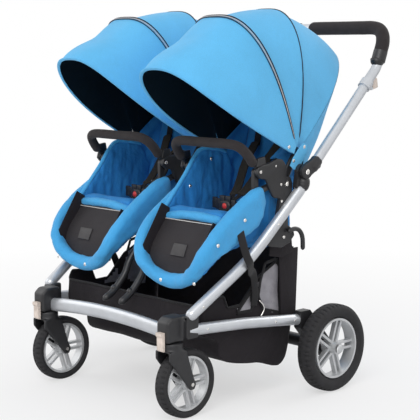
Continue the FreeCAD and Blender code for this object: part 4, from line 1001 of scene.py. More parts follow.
class HoodsOperator(bpy.types.Operator):
    """Stretch the three cloth bands of each hood over its bows, with lining and piping."""

    bl_idname = "stroller.hoods"
    bl_label = "Hoods"

    def execute(self, context):
        sizes = context.scene.stroller_sizes
        self.sag = sizes.hood_sag
        rear = {"half": (0.1385, 0.142), "top": (0.380, 0.3905), "turn": (-42, 3), "bend": (-5, -6)}
        mid = {
            "half": (0.1455, 0.1455), "top": (0.395, 0.3955), "turn": (-4.2, 28), "bend": (-6, -6)
        }
        front = {
            "half": (0.1512, 0.1526), "top": (0.406, 0.446), "turn": (22.6, 58), "bend": (-6, 7)
        }
        self.make_band("rear", rear, "chassis", 0.4, 14)
        self.make_band("mid", mid, "hood_mid_right", 1.0, 12)
        self.make_band("front", front, "hood_front_right", 0.6, 18)
        thin = sizes.piping
        self.make_piping(
            "hood_rear_piping_right", rear, 0.84, 0.0058, "navy_piping", "chassis", thin * 0.9
        )
        self.make_piping(
            "hood_mid_piping_right", front, 0.012, 0.0006, "navy_piping", "hood_front_right", thin
        )
        self.make_piping(
            "hood_mid_cord_right", front, 0.036, 0.0010, "pale_piping", "hood_front_right",
            thin * 0.7
        )
        self.make_piping(
            "hood_mid_edge_right", front, 0.058, 0.0006, "navy_piping", "hood_front_right",
            thin * 0.8
        )
        self.make_hem(front)
        self.make_curtain(rear)
        self.make_tabs()
        for name in ("hood_front_cloth_left", "hood_hem_left"):
            self.lift(bpy.data.objects[name], 3.4)
        return {"FINISHED"}

    def lift(self, piece, degrees):
        """Tip the front of a hood up a little, as if pushed back by hand."""
        for vert in piece.data.vertices:
            arm = vert.co - HOOD_HINGE
            lean = math.degrees(math.atan2(-arm.y, arm.z))
            share = min(1.0, max(0.0, (lean - 25) / 33))
            turn = Matrix.Rotation(-math.radians(degrees) * share * share * (3 - 2 * share), 4, "X")
            side = Vector((vert.co.x, HOOD_HINGE.y, HOOD_HINGE.z))
            vert.co = side + turn @ Vector((0, arm.y, arm.z))

    def make_curtain(self, band):
        """Cloth that closes the hood behind, down to the backrest's edge."""
        self.shares = self.spread_shares(band["half"][0], band["top"][1])
        edge = [
            (-0.104, 0.080), (-0.106, 0.180), (-0.104, 0.270), (-0.088, 0.308), (-0.055, 0.322),
            (0.0, 0.325), (0.055, 0.322), (0.088, 0.308), (0.104, 0.270), (0.106, 0.180),
            (0.104, 0.080),
        ]
        rim = [on_back(x, 0.013, up) for x, up in edge]
        rim = even_run(smooth_run(rim), 60)

        def place(u, v):
            start = self.band_point(band, 0.02 + 0.96 * u, 0.004)
            start += (HOOD_HINGE - start).normalized() * 0.002
            spot = start.lerp(rim[round(u * 60)], v)
            seed = Vector((u * 7, v * 3, 4.0))
            belly = math.sin(math.pi * v) * (0.022 + 0.008 * noise.noise(seed))
            return spot + Vector((0, belly, -0.4 * belly))

        bm = laid_out(60, 18, place, HOOD_HINGE + Vector((0, -0.02, 0.05)))
        area = sum(face.calc_area() for face in bm.faces)
        cloth = new_piece("hood_curtain_right", bm, "canopy_blue", "lining_navy")
        walled(cloth, 0.0014, inner=1)
        subdivided(cloth)
        size = (round(run_length([place(n / 60, 0) for n in range(61)]), 3), 0.300)
        settle(
            cloth, None,
            bends=("chassis", "backrest_right", (SEAT_X, 0.20, 0.86), (SEAT_X, 0.125, 0.79)),
        )

    def bow(self, share, across, top, degrees, bend, corner=3.1):
        """Point on a bow that runs from the inner hinge over the top to the outer one."""
        turn = math.pi * (0.004 + 0.992 * share)
        c, s = math.cos(turn), math.sin(turn)
        out = -across * math.copysign(abs(c) ** (2 / corner), c)
        reach = top * s ** (2 / corner)
        lean = math.radians(degrees + bend * (1 - (reach / top) ** 2))
        return HOOD_HINGE + Vector((out, -math.sin(lean) * reach, math.cos(lean) * reach))

    def spread_shares(self, across, top):
        """Shares at which a bow's points are evenly spaced along it."""
        fine = [n / 600 for n in range(601)]
        points = [self.bow(share, across, top, 0, 0) for share in fine]
        walked = [0.0]
        for here, there in zip(points, points[1:]):
            walked.append(walked[-1] + (there - here).length)
        shares, n = [], 0
        for step in range(201):
            goal = walked[-1] * step / 200
            while n < 599 and walked[n + 1] < goal:
                n += 1
            gap = walked[n + 1] - walked[n]
            shares.append(fine[n] + (fine[n + 1] - fine[n]) * (goal - walked[n]) / gap)
        return shares

    def band_point(self, band, u, v, sag=0.0):
        """Point on a band: u runs along the bows, v from its rear bow to its front one."""
        share = self.shares[min(200, round(u * 200))]
        across, top, turn, bend = (
            pair[0] + (pair[1] - pair[0]) * v
            for pair in (band["half"], band["top"], band["turn"], band["bend"])
        )
        if band["turn"][1] == 58:
            lip = 0.5 - 0.5 * math.cos(math.pi * max(0.0, (v - 0.35) / 0.65))
            top = band["top"][0] + (band["top"][1] - band["top"][0]) * lip
        corner = 3.1 - 0.5 * v if band["turn"][1] == 58 else 3.1
        point = self.bow(share, across, top, turn, bend, corner)
        drop = sag * math.sin(math.pi * v) * math.sin(math.pi * u) ** 0.7
        return point + (HOOD_HINGE - point).normalized() * drop

    def make_band(self, part, band, body, pucker, along):
        self.shares = self.spread_shares(band["half"][0], band["top"][1])

        def place(u, v):
            point = self.band_point(band, u, v, self.sag)
            out = (point - HOOD_HINGE).normalized()
            seed = Vector((point.x * 9, point.y * 9, point.z * 9 + len(part)))
            fade = math.sin(math.pi * v) * math.sin(math.pi * u) ** 2
            point += out * noise.noise(seed) * 0.0022 * fade
            edge = (1 - v) if part == "mid" else v
            ripple = math.sin(u * 118 + 2 * noise.noise(seed * 3)) * max(0.0, edge - 0.45) ** 1.5
            side = abs(u - 0.5) * 2
            return point - out * pucker * 0.0035 * abs(ripple) * (0.25 + side)

        bm = laid_out(72, along, place, HOOD_HINGE + Vector((0, 0, 0.15)))
        area = sum(face.calc_area() for face in bm.faces)
        top_run = [self.band_point(band, n / 60, 1.0) for n in range(61)]
        width = run_length(top_run) * 1.02
        length = max(
            run_length([self.band_point(band, u, n / 12) for n in range(13)]) for u in (0.4, 0.5)
        )
        cloth = new_piece(f"hood_{part}_cloth_right", bm, "canopy_blue", "lining_navy")
        walled(cloth, 0.0014, inner=1)
        subdivided(cloth)
        settle(cloth, body, [f"hood_{part}_right"])

    def make_piping(self, name, band, v, lift, finish, body, radius):
        self.shares = self.spread_shares(band["half"][0], band["top"][1])
        run = []
        for n in range(3, 98):
            point = self.band_point(band, n / 100, v)
            run.append(point + (point - HOOD_HINGE).normalized() * lift)
        piping = new_piece(name, round_tube(run, radius, 8), finish)
        settle(piping, body)

    def make_hem(self, band):
        """Padded hem along the hood's front lip."""
        self.shares = self.spread_shares(band["half"][0], band["top"][1])
        run = [self.band_point(band, n / 100, 1.0) for n in range(2, 99)]

        def section(turn, share, point):
            return 0.0022 * math.cos(turn), 0.0052 * math.sin(turn)

        hem = new_piece("hood_hem_right", swept(run, section, 10, (0, 1, 0.3)), "canopy_blue")
        subdivided(hem)
        settle(hem, "hood_front_right")

    def make_tabs(self):
        """Round cloth tab over each hood hinge, with its press studs."""
        x, y, z = 0.3366, 0.0365, 0.660
        outline = [
            (x, y - 0.034, z - 0.022), (x, y - 0.018, z - 0.034), (x, y + 0.004, z - 0.030),
            (x, y + 0.022, z - 0.006), (x, y + 0.036, z + 0.018), (x, y + 0.034, z + 0.030),
            (x, y + 0.018, z + 0.036), (x, y - 0.002, z + 0.020), (x, y - 0.024, z - 0.004),
        ]
        bm = slab(outline, (0.0014, 0, 0), 0.0004)
        tab = new_piece("hood_hinge_tab_right", bm, "canopy_blue")
        subdivided(tab)
        settle(tab, "chassis")
        studs = [
            dome((x + 0.0012, 0.017, 0.650), (1, 0, 0), 0.0052, 0.0009),
            dome((x + 0.0012, 0.059, 0.685), (1, 0, 0), 0.0052, 0.0009),
        ]
        settle(new_piece("hood_tab_studs_right", joined(studs), "steel"), "chassis")
        lip = [dome((0.3372, -0.001, 0.688), (1, 0, 0), 0.0048, 0.002)]
        settle(new_piece("hood_lip_stud_right", joined(lip), "steel"), "hood_front_right")


class SeatsOperator(bpy.types.Operator):
    """Sew the seats: padded rim, sides, cushion, back, calf flap and their studs."""

    bl_idname = "stroller.seats"
    bl_label = "Seats"

    TALL = [
        (-0.296, 0.414), (-0.205, 0.524), (-0.135, 0.604), (-0.100, 0.650), (-0.072, 0.672),
        (-0.020, 0.670), (0.028, 0.658),
    ]
    LOW = [
        (-0.296, 0.405), (-0.205, 0.505), (-0.125, 0.556), (-0.060, 0.584), (-0.010, 0.610),
        (0.040, 0.640),
    ]
    UNDER = [
        (0.062, 0.600), (0.050, 0.440), (-0.012, 0.430), (-0.086, 0.440), (-0.188, 0.422),
        (-0.276, 0.372),
    ]

    def execute(self, context):
        sizes = context.scene.stroller_sizes
        self.swell = sizes.padding
        leg = [
            (-0.030, 0.590), (-0.072, 0.583), (-0.118, 0.5645), (-0.185, 0.5245), (-0.222, 0.4980),
        ]
        out, inn = SEAT_X + 0.134, SEAT_X - 0.134
        corner = [
            (0.002, -0.2560, 0.4670), (0.009, -0.2810, 0.4350), (0.021, -0.2935, 0.4060),
            (0.040, -0.2950, 0.3800), (0.066, -0.2900, 0.3600), (0.098, -0.2850, 0.3480),
        ]
        run = [Vector((out, y, z)) for y, z in leg]
        run += [Vector((out - dx, y, z)) for dx, y, z in corner]
        run += [Vector((SEAT_X, -0.2835, 0.3445))]
        run += [Vector((inn + dx, y, z)) for dx, y, z in reversed(corner)]
        run += [Vector((inn, y, z)) for y, z in reversed(leg)]
        self.rim = even_run(smooth_run(run), 150)
        self.make_tube()
        self.make_rim(sizes.roll)
        self.make_sides()
        self.make_cushion()
        self.make_flap()
        self.make_back()
        self.make_joints()
        self.make_studs()
        return {"FINISHED"}

    def make_joints(self):
        """Plastic joints that tie the bumper's pivots to the seat's hubs."""
        outline = [
            (-0.119, 0.623), (-0.114, 0.641), (-0.096, 0.647), (-0.070, 0.650), (-0.040, 0.660),
            (-0.020, 0.656), (-0.006, 0.640), (-0.004, 0.575), (-0.024, 0.550), (-0.054, 0.556),
            (-0.070, 0.580), (-0.082, 0.606), (-0.106, 0.610),
        ]
        bodies, heads = [], []
        for side in (1, -1):
            x = SEAT_X + side * 0.1380
            bodies.append(slab([(x, y, z) for y, z in outline], (side * 0.0118, 0, 0), 0.0050, 4))
            clip = [(x, -0.120, 0.640), (x, -0.114, 0.664), (x, -0.088, 0.668), (x, -0.084, 0.648)]
            bodies.append(slab(clip, (side * 0.0112, 0, 0), 0.0030, 3))
            for y, z, radius in (
                (-0.105, 0.628, 0.0046), (-0.027, 0.590, 0.0040), (-0.048, 0.640, 0.0030)
            ):
                heads.append(dome((x + side * 0.0114, y, z), (side, 0, 0), radius, radius * 0.3))
        joint = subdivided(new_piece("seat_joint_right", joined(bodies), "black_plastic"))
        settle(joint, "chassis")
        settle(new_piece("seat_joint_bolts_right", joined(heads), "steel"), "chassis")

    def make_tube(self):
        """Black tube inside the rim, and the posts that carry the bumper bar."""
        parts = [round_tube(self.rim, 0.0088, 12, blunt=False, first=(1, 0, 0))]
        for side in (1, -1):
            x = SEAT_X + side * 0.122
            outline = [
                (x, -0.114, 0.562), (x, -0.114, 0.628), (x, -0.110, 0.635), (x, -0.105, 0.6375),
                (x, -0.100, 0.635), (x, -0.096, 0.628), (x, -0.096, 0.560),
            ]
            parts.append(slab(outline, (side * 0.011, 0, 0), 0.0016))
            pin = dome((SEAT_X + side * 0.1405, -0.105, 0.628), (side, 0, 0), 0.0055, 0.003)
            parts.append(pin)
        tube = new_piece("seat_tube_right", joined(parts), "black_metal")
        settle(tube, "chassis", ["seat_frame_right"])

    def make_rim(self, radius):
        """Padded rim that wraps the tube and hangs below it like a skirt."""
        covered = self.rim[9:-9]

        def skirt(share):
            reach = abs(share - 0.5) * 2
            for low, high, start, end in (
                (0.0, 0.30, 0.008, 0.012), (0.30, 0.50, 0.012, 0.040),
                (0.50, 0.78, 0.040, 0.064), (0.78, 1.01, 0.064, 0.050),
            ):
                if low <= reach <= high:
                    return start + (end - start) * (reach - low) / (high - low)
            return 0.05

        def section(turn, share, point):
            c, s = math.cos(turn), math.sin(turn)
            foot = max(0.0, 1 - abs(share - 0.5) / 0.16)
            width = radius * (1 + 0.16 * foot)
            groove = 1 - 0.16 * math.exp(-(((turn - 5.75) / 0.16) ** 2))
            groove -= 0.10 * math.exp(-(((turn - 3.67) / 0.16) ** 2))
            ends = min(1.0, 0.55 + min(share, 1 - share) * 12)
            if s < 0:
                slack = noise.noise(Vector((share * 30, 0.5, 0.2))) * 0.12
                return width * c * groove * ends, s * (radius + skirt(share) * (1 + slack)) * ends
            return width * c * groove * ends, radius * s * ends

        bm = swept(covered, section, 28, (1, 0, 0))
        self.crease_across(bm)
        rim = new_piece("seat_rim_right", bm, "seat_blue")
        subdivided(rim)
        settle(rim, "chassis", ["footrest_roll_right"])

    def crease_across(self, bm):
        """Short puckers that cross the rim, deeper where it bends."""
        bm.normal_update()
        for vert in bm.verts:
            along = vert.co.y * 55 + vert.co.z * 95 + vert.co.x * 70
            wander = noise.noise(vert.co * 28) * 4
            bend = math.exp(-(((vert.co.z - 0.40) / 0.045) ** 2)) + 0.35
            depth = 0.0011 * bend * math.sin(along + wander)
            vert.co += vert.normal * (depth + 0.0016 * noise.noise(vert.co * 34))

    def padded_piece(self, name, corners, push, rounding, finish, cap, folds=(), voxel=0.005):
        piece = new_piece(name, slab(corners, push, rounding), finish)
        smoothed(stuffed(piece, cap, voxel), 3)
        bm = bmesh.new()
        bm.from_mesh(piece.data)
        for depth, size, seed, stretch in folds:
            crumple(bm, depth, size, seed, stretch)
        bm.to_mesh(piece.data)
        bm.free()
        return subdivided(piece)

    def make_sides(self):
        """Four padded side walls; the walls away from the harness side stand higher."""
        for name, x, tall, seed in (
            ("inner_right", 0.0705, True, 6.1),
            ("outer_right", 0.2945, False, 1.7),
            ("inner_left", -0.0755, False, 3.4),
            ("outer_left", -0.2995, True, 9.2),
        ):
            outline = (self.TALL if tall else self.LOW) + self.UNDER
            corners = [(x, y, z) for y, z in outline]
            side = self.padded_piece(
                f"seat_side_{name}", corners, (0.005, 0, 0), 0.0016, "seat_inner",
                self.swell * 0.6,
                [(0.0042, 0.040, seed, (1, 1.8, 0.45)), (0.0012, 0.018, seed, (1, 1, 1))],
            )
            settle(side, "chassis", pair=False)
            if tall:
                edge = smooth_run([(x + 0.0025, y, z - 0.0015) for y, z in self.TALL], 6)
                hem = new_piece(
                    f"seat_edge_{name}", round_tube(even_run(edge, 60), 0.0062, 10), "seat_blue"
                )
                subdivided(hem)
                settle(hem, "chassis", pair=False)
        for name, x, drop in (
            ("outer_right", 0.2835, 0.034), ("inner_right", 0.0845, 0.0),
            ("outer_left", -0.2857, 0.0), ("inner_left", -0.0867, 0.034),
        ):
            corners = [
                (x, -0.230, 0.537 - drop), (x, -0.190, 0.514 - drop), (x, -0.214, 0.468 - drop),
                (x, -0.258, 0.398), (x, -0.282, 0.382), (x, -0.298, 0.430 - drop),
            ]
            pad = new_piece(
                f"leg_pad_{name}", slab(corners, (0.0022, 0, 0), 0.0008), "basket_black"
            )
            settle(pad, "chassis", pair=False)

    def make_cushion(self):
        inn, out = SEAT_X - 0.104, SEAT_X + 0.104
        corners = [
            (inn, -0.204, 0.480), (inn, -0.204, 0.524), (inn, 0.024, 0.479), (inn, 0.024, 0.430)
        ]
        cushion = self.padded_piece(
            "seat_cushion_right", corners, (out - inn, 0, 0), 0.005, "seat_inner",
            self.swell, [(0.0030, 0.07, 3.3, (0.6, 1, 1))],
        )
        settle(cushion, "chassis", ["seat_tub_right"])
        lip = smooth_run([
            (inn - 0.002, -0.204, 0.497), (SEAT_X - 0.05, -0.2075, 0.5060), (SEAT_X, -0.208, 0.509),
            (SEAT_X + 0.05, -0.2075, 0.5080), (out + 0.002, -0.204, 0.504),
        ])
        lip_bm = round_tube(even_run(lip, 60), 0.0125, 12)
        crumple(lip_bm, 0.0014, 0.03, 2.0)
        bolster = subdivided(new_piece("seat_lip_right", lip_bm, "seat_blue"))
        settle(bolster, "chassis")
        wide = 0.218
        low = [
            (-0.200, 0.500), (-0.196, 0.460), (-0.120, 0.432), (-0.040, 0.420), (0.036, 0.424),
            (0.046, 0.452), (0.020, 0.468),
        ]
        base = self.padded_piece(
            "seat_base_right", [(SEAT_X - wide / 2, y, z) for y, z in low], (wide, 0, 0), 0.005,
            "seat_inner", self.swell, [(0.0030, 0.06, 5.0, (1, 1, 1))],
        )
        settle(base, "chassis")

    def make_flap(self):
        inn, out = SEAT_X - 0.1065, SEAT_X + 0.1065
        front = [(-0.2125, 0.500), (-0.2690, 0.4260), (-0.2800, 0.3620)]

        def place(u, v):
            spots = smooth_run([(0, *spot) for spot in front], 8)
            at = v * (len(spots) - 1)
            low = min(len(spots) - 2, int(at))
            spot = spots[low].lerp(spots[low + 1], at - low)
            sink = 0.004 * math.sin(math.pi * u) ** 0.5
            wave = 0.0018 * noise.noise(Vector((u * 5, v * 4, 2.0)))
            return Vector((inn + (out - inn) * u, spot.y + 0.004 - sink + wave, spot.z))

        cloth = new_piece(
            "calf_flap_cloth_right", laid_out(36, 28, place, (SEAT_X, 0, 0.4)), "flap_grey"
        )
        walled(cloth, 0.0024)
        subdivided(cloth)
        settle(
            cloth, "chassis", ["calf_flap_right"],
        )
        border = [place(0.03, 1 - n / 20) for n in range(1, 20)]
        border += [place(0.03 + 0.94 * n / 24, 0.045) for n in range(25)]
        border += [place(0.97, n / 20) for n in range(2, 20)]
        border = [spot + Vector((0, -0.0012, 0.0006)) for spot in border]
        edge = new_piece(
            "calf_flap_binding_right", round_tube(even_run(smooth_run(border, 2), 90), 0.0014, 6),
            "pale_piping"
        )
        settle(edge, "chassis")
        spots = ((0.44, 0.40), (0.68, 0.40), (0.68, 0.62), (0.44, 0.62))
        corners = [place(u, v) + Vector((0, -0.0040, 0.0010)) for u, v in spots]
        patch = new_piece(
            "calf_flap_patch_right", slab(corners, (0, 0.0030, 0), 0.0010), "soft_patch"
        )
        settle(patch, "chassis")

    def make_back(self):
        outline = [
            (-0.104, 0.010), (0.104, 0.010), (0.104, 0.285), (0.092, 0.312), (0.064, 0.325),
            (-0.064, 0.325), (-0.092, 0.312), (-0.104, 0.285),
        ]
        corners = [tuple(on_back(x, 0.003, up)) for x, up in outline]
        push = BACK_TURN @ Vector((0, 0.017, 0))
        back = self.padded_piece(
            "backrest_pad_right", corners, tuple(push), 0.005, "seat_inner", self.swell,
            [(0.0036, 0.05, 8.8, (2.2, 1, 0.35))],
        )
        settle(back, "backrest_right", ["backrest_right"])
        for name, side in (("outer", 1), ("inner", -1)):
            low = [(-0.030, 0.655), (0.010, 0.650), (0.040, 0.600), (0.040, 0.500)]
            top = [tuple(on_back(side * 0.100, 0.006, up)) for up in (0.030, 0.120, 0.210, 0.300)]

            def place(u, v):
                a = smooth_run([(SEAT_X + side * 0.109, *spot) for spot in low], 8)
                b = smooth_run(list(reversed(top)), 8)
                first, last = a[round(u * 24)], b[round(u * 24)]
                spot = first.lerp(last, v)
                wave = 0.004 * math.sin(u * 17 + v * 2) * math.sin(math.pi * v)
                return spot + Vector((side * (0.006 * math.sin(math.pi * v)) + wave, 0, 0))

            bm = laid_out(24, 20, place, (SEAT_X, 0.0, 0.7))
            area = sum(face.calc_area() for face in bm.faces)
            wing = walled(new_piece(f"seat_wing_{name}_right", bm, "seat_inner"), 0.0016)
            subdivided(wing)
            settle(
                wing, None,
                bends=("chassis", "backrest_right", (SEAT_X, 0.0, 0.645), (SEAT_X, 0.09, 0.74)),
            )

    def make_studs(self):
        spots = []
        for y, z in ((-0.040, 0.643), (-0.120, 0.573), (-0.193, 0.513)):
            spots.append(((0.0805, y, z), (1, 0, 0.1)))
        spots.append(((0.3372, -0.166, 0.508), (1, 0, 0.1)))
        spots.append(((0.3365, -0.262, 0.452), (1, 0, 0.1)))
        spots.append(((0.286, -0.2990, 0.352), (0.1, -1, 0.1)))
        spots.append(((0.160, -0.3015, 0.346), (0, -1, 0.1)))
        heads = [dome(spot, facing, 0.0052, 0.0024) for spot, facing in spots]
        studs = new_piece("seat_studs_right", joined(heads), "steel")
        settle(studs, "chassis")


class HarnessOperator(bpy.types.Operator):
    """Make the shoulder pads, the webbing and the buckle's small parts."""

    bl_idname = "stroller.harness"
    bl_label = "Harness"

    def execute(self, context):
        width = context.scene.stroller_sizes.strap

        def place(x, y, z):
            return Vector((SEAT_X + x, y, z))

        across = (1, 0, 0)
        for name, side, low in (
            ("outer", 1, [(0.022, 0.026, 0.618), (0.014, -0.020, 0.566), (0.010, -0.056, 0.545)]),
            (
                "inner", -1,
                [(-0.034, 0.026, 0.636), (-0.022, -0.020, 0.566), (-0.010, -0.056, 0.545)]
            ),
        ):
            shoulder = on_back(side * 0.043, -0.0125, 0.205)
            pad_run = even_run(smooth_run([shoulder, *[place(*spot) for spot in low]]), 40)
            pad_bm = ribbon(pad_run[:-3], 0.030, across, 0.0085)
            crumple(pad_bm, 0.0008, 0.02, 4.0)
            pad = subdivided(new_piece(f"shoulder_pad_{name}_right", pad_bm, "pad_olive"))
            stands_for = ["harness_right"] if side == 1 else []
            bends = ("backrest_right", "chassis", tuple(shoulder), tuple(place(0, -0.03, 0.56)))
            settle(pad, None, stands_for, bends=bends)
            up = smooth_run([
                shoulder + Vector((0, 0.002, -0.010)), on_back(side * 0.045, -0.0100, 0.260),
                on_back(side * 0.046, -0.0080, 0.295), on_back(side * 0.046, 0.001, 0.306),
            ])
            top = new_piece(
                f"shoulder_strap_{name}_right", ribbon(even_run(up, 24), width, across),
                "webbing_black"
            )
            settle(top, "backrest_right")
            down = smooth_run(
                [pad_run[-8], place(low[-1][0], -0.056, 0.544), place(side * 0.011, -0.084, 0.534)]
            )
            tail = new_piece(
                f"chest_strap_{name}_right", ribbon(even_run(down, 20), width * 0.8, across),
                "webbing_black"
            )
            settle(tail, "chassis")
            lap = smooth_run([
                place(side * 0.106, -0.012, 0.516), place(side * 0.088, -0.040, 0.524),
                place(side * 0.054, -0.074, 0.528), place(side * 0.020, -0.086, 0.527),
            ])
            strap = new_piece(
                f"lap_strap_{name}_right", ribbon(even_run(lap, 30), width * 0.85, (0, 0.3, 1)),
                "webbing_black"
            )
            settle(strap, "chassis")
            plates = []
            for spot in (lap[16], lap[22]):
                corners = [
                    spot + Vector((side * a, -0.0045, b))
                    for a, b in ((-0.008, -0.015), (0.008, -0.015), (0.008, 0.015), (-0.008, 0.015))
                ]
                plates.append(
                    slab([tuple(corner) for corner in corners], (0, 0.006, 0.001), 0.0018)
                )
            slider = new_piece(f"lap_sliders_{name}_right", joined(plates), "black_plastic")
            settle(slider, "chassis")
        crotch = smooth_run(
            [place(0, -0.100, 0.503), place(0, -0.098, 0.512), place(0, -0.090, 0.522)]
        )
        strap = new_piece(
            "crotch_strap_right", ribbon(even_run(crotch, 8), width * 1.3, across), "webbing_black"
        )
        settle(strap, "chassis")
        self.make_buckle(place)
        return {"FINISHED"}

    def make_buckle(self, place):
        """Buckle in front of the child, with its two tongues and red button."""
        shell = [
            (-0.020, 0.506), (0.020, 0.506), (0.022, 0.528), (0.014, 0.540), (-0.014, 0.540),
            (-0.022, 0.528)
        ]
        parts = [slab([tuple(place(x, -0.094, z)) for x, z in shell], (0, 0.015, 0), 0.005, 4)]
        for side in (1, -1):
            x = side * 0.011
            tongue = [
                (x - 0.009, 0.534), (x + 0.009, 0.534), (x + 0.010, 0.552), (x - 0.010, 0.552)
            ]
            parts.append(
                slab([tuple(place(a, -0.091, z)) for a, z in tongue], (0, 0.009, 0), 0.002)
            )
        buckle = new_piece("buckle_body_right", joined(parts), "black_plastic")
        settle(buckle, "chassis", ["buckle_right"])
        button = dome(place(0.002, -0.0935, 0.525), (0, -1, 0.13), 0.0085, 0.0040, 20)
        settle(new_piece("buckle_button_right", button, "release_red"), "chassis")


class BumpersOperator(bpy.types.Operator):
    """Cover the bumper bars with foam and cap their joints."""

    bl_idname = "stroller.bumpers"
    bl_label = "Bumper bars"

    def execute(self, context):
        lean = math.radians(38)
        up = Vector((0, -math.sin(lean), math.cos(lean)))
        base = Vector((SEAT_X, -0.105, 0.628))

        def at(x, reach):
            return base + Vector((x, 0, 0)) + up * reach

        run = smooth_run([
            at(0.137, 0.020), at(0.137, 0.036), at(0.1365, 0.052), at(0.1285, 0.075),
            at(0.112, 0.088),
            at(0.085, 0.0925), at(0.04, 0.0925), at(0, 0.0925), at(-0.04, 0.0925),
            at(-0.085, 0.0925),
            at(-0.112, 0.088), at(-0.1285, 0.075), at(-0.1365, 0.052), at(-0.137, 0.036),
            at(-0.137, 0.020),
        ])
        foam_bm = round_tube(even_run(run, 130), 0.0132, 20)
        crumple(foam_bm, 0.0005, 0.05, 1.0)
        foam = subdivided(new_piece("bumper_sleeve_right", foam_bm, "foam_grip"))
        settle(foam, "bumper_right", ["bumper_foam_right"])
        caps = []
        for side in (1, -1):
            spot = base + Vector((side * 0.1402, 0, 0))
            caps.append(dome(spot, (side, 0, 0), 0.0130, 0.0052, 24))
        settle(
            new_piece("bumper_caps_right", joined(caps), "black_plastic"), "bumper_right",
        )
        heads = [
            dome(base + Vector((side * 0.1452, 0, 0)), (side, 0, 0), 0.0038, 0.0018)
            for side in (1, -1)
        ]
        settle(new_piece("bumper_rivets_right", joined(heads), "steel"), "bumper_right")
        return {"FINISHED"}


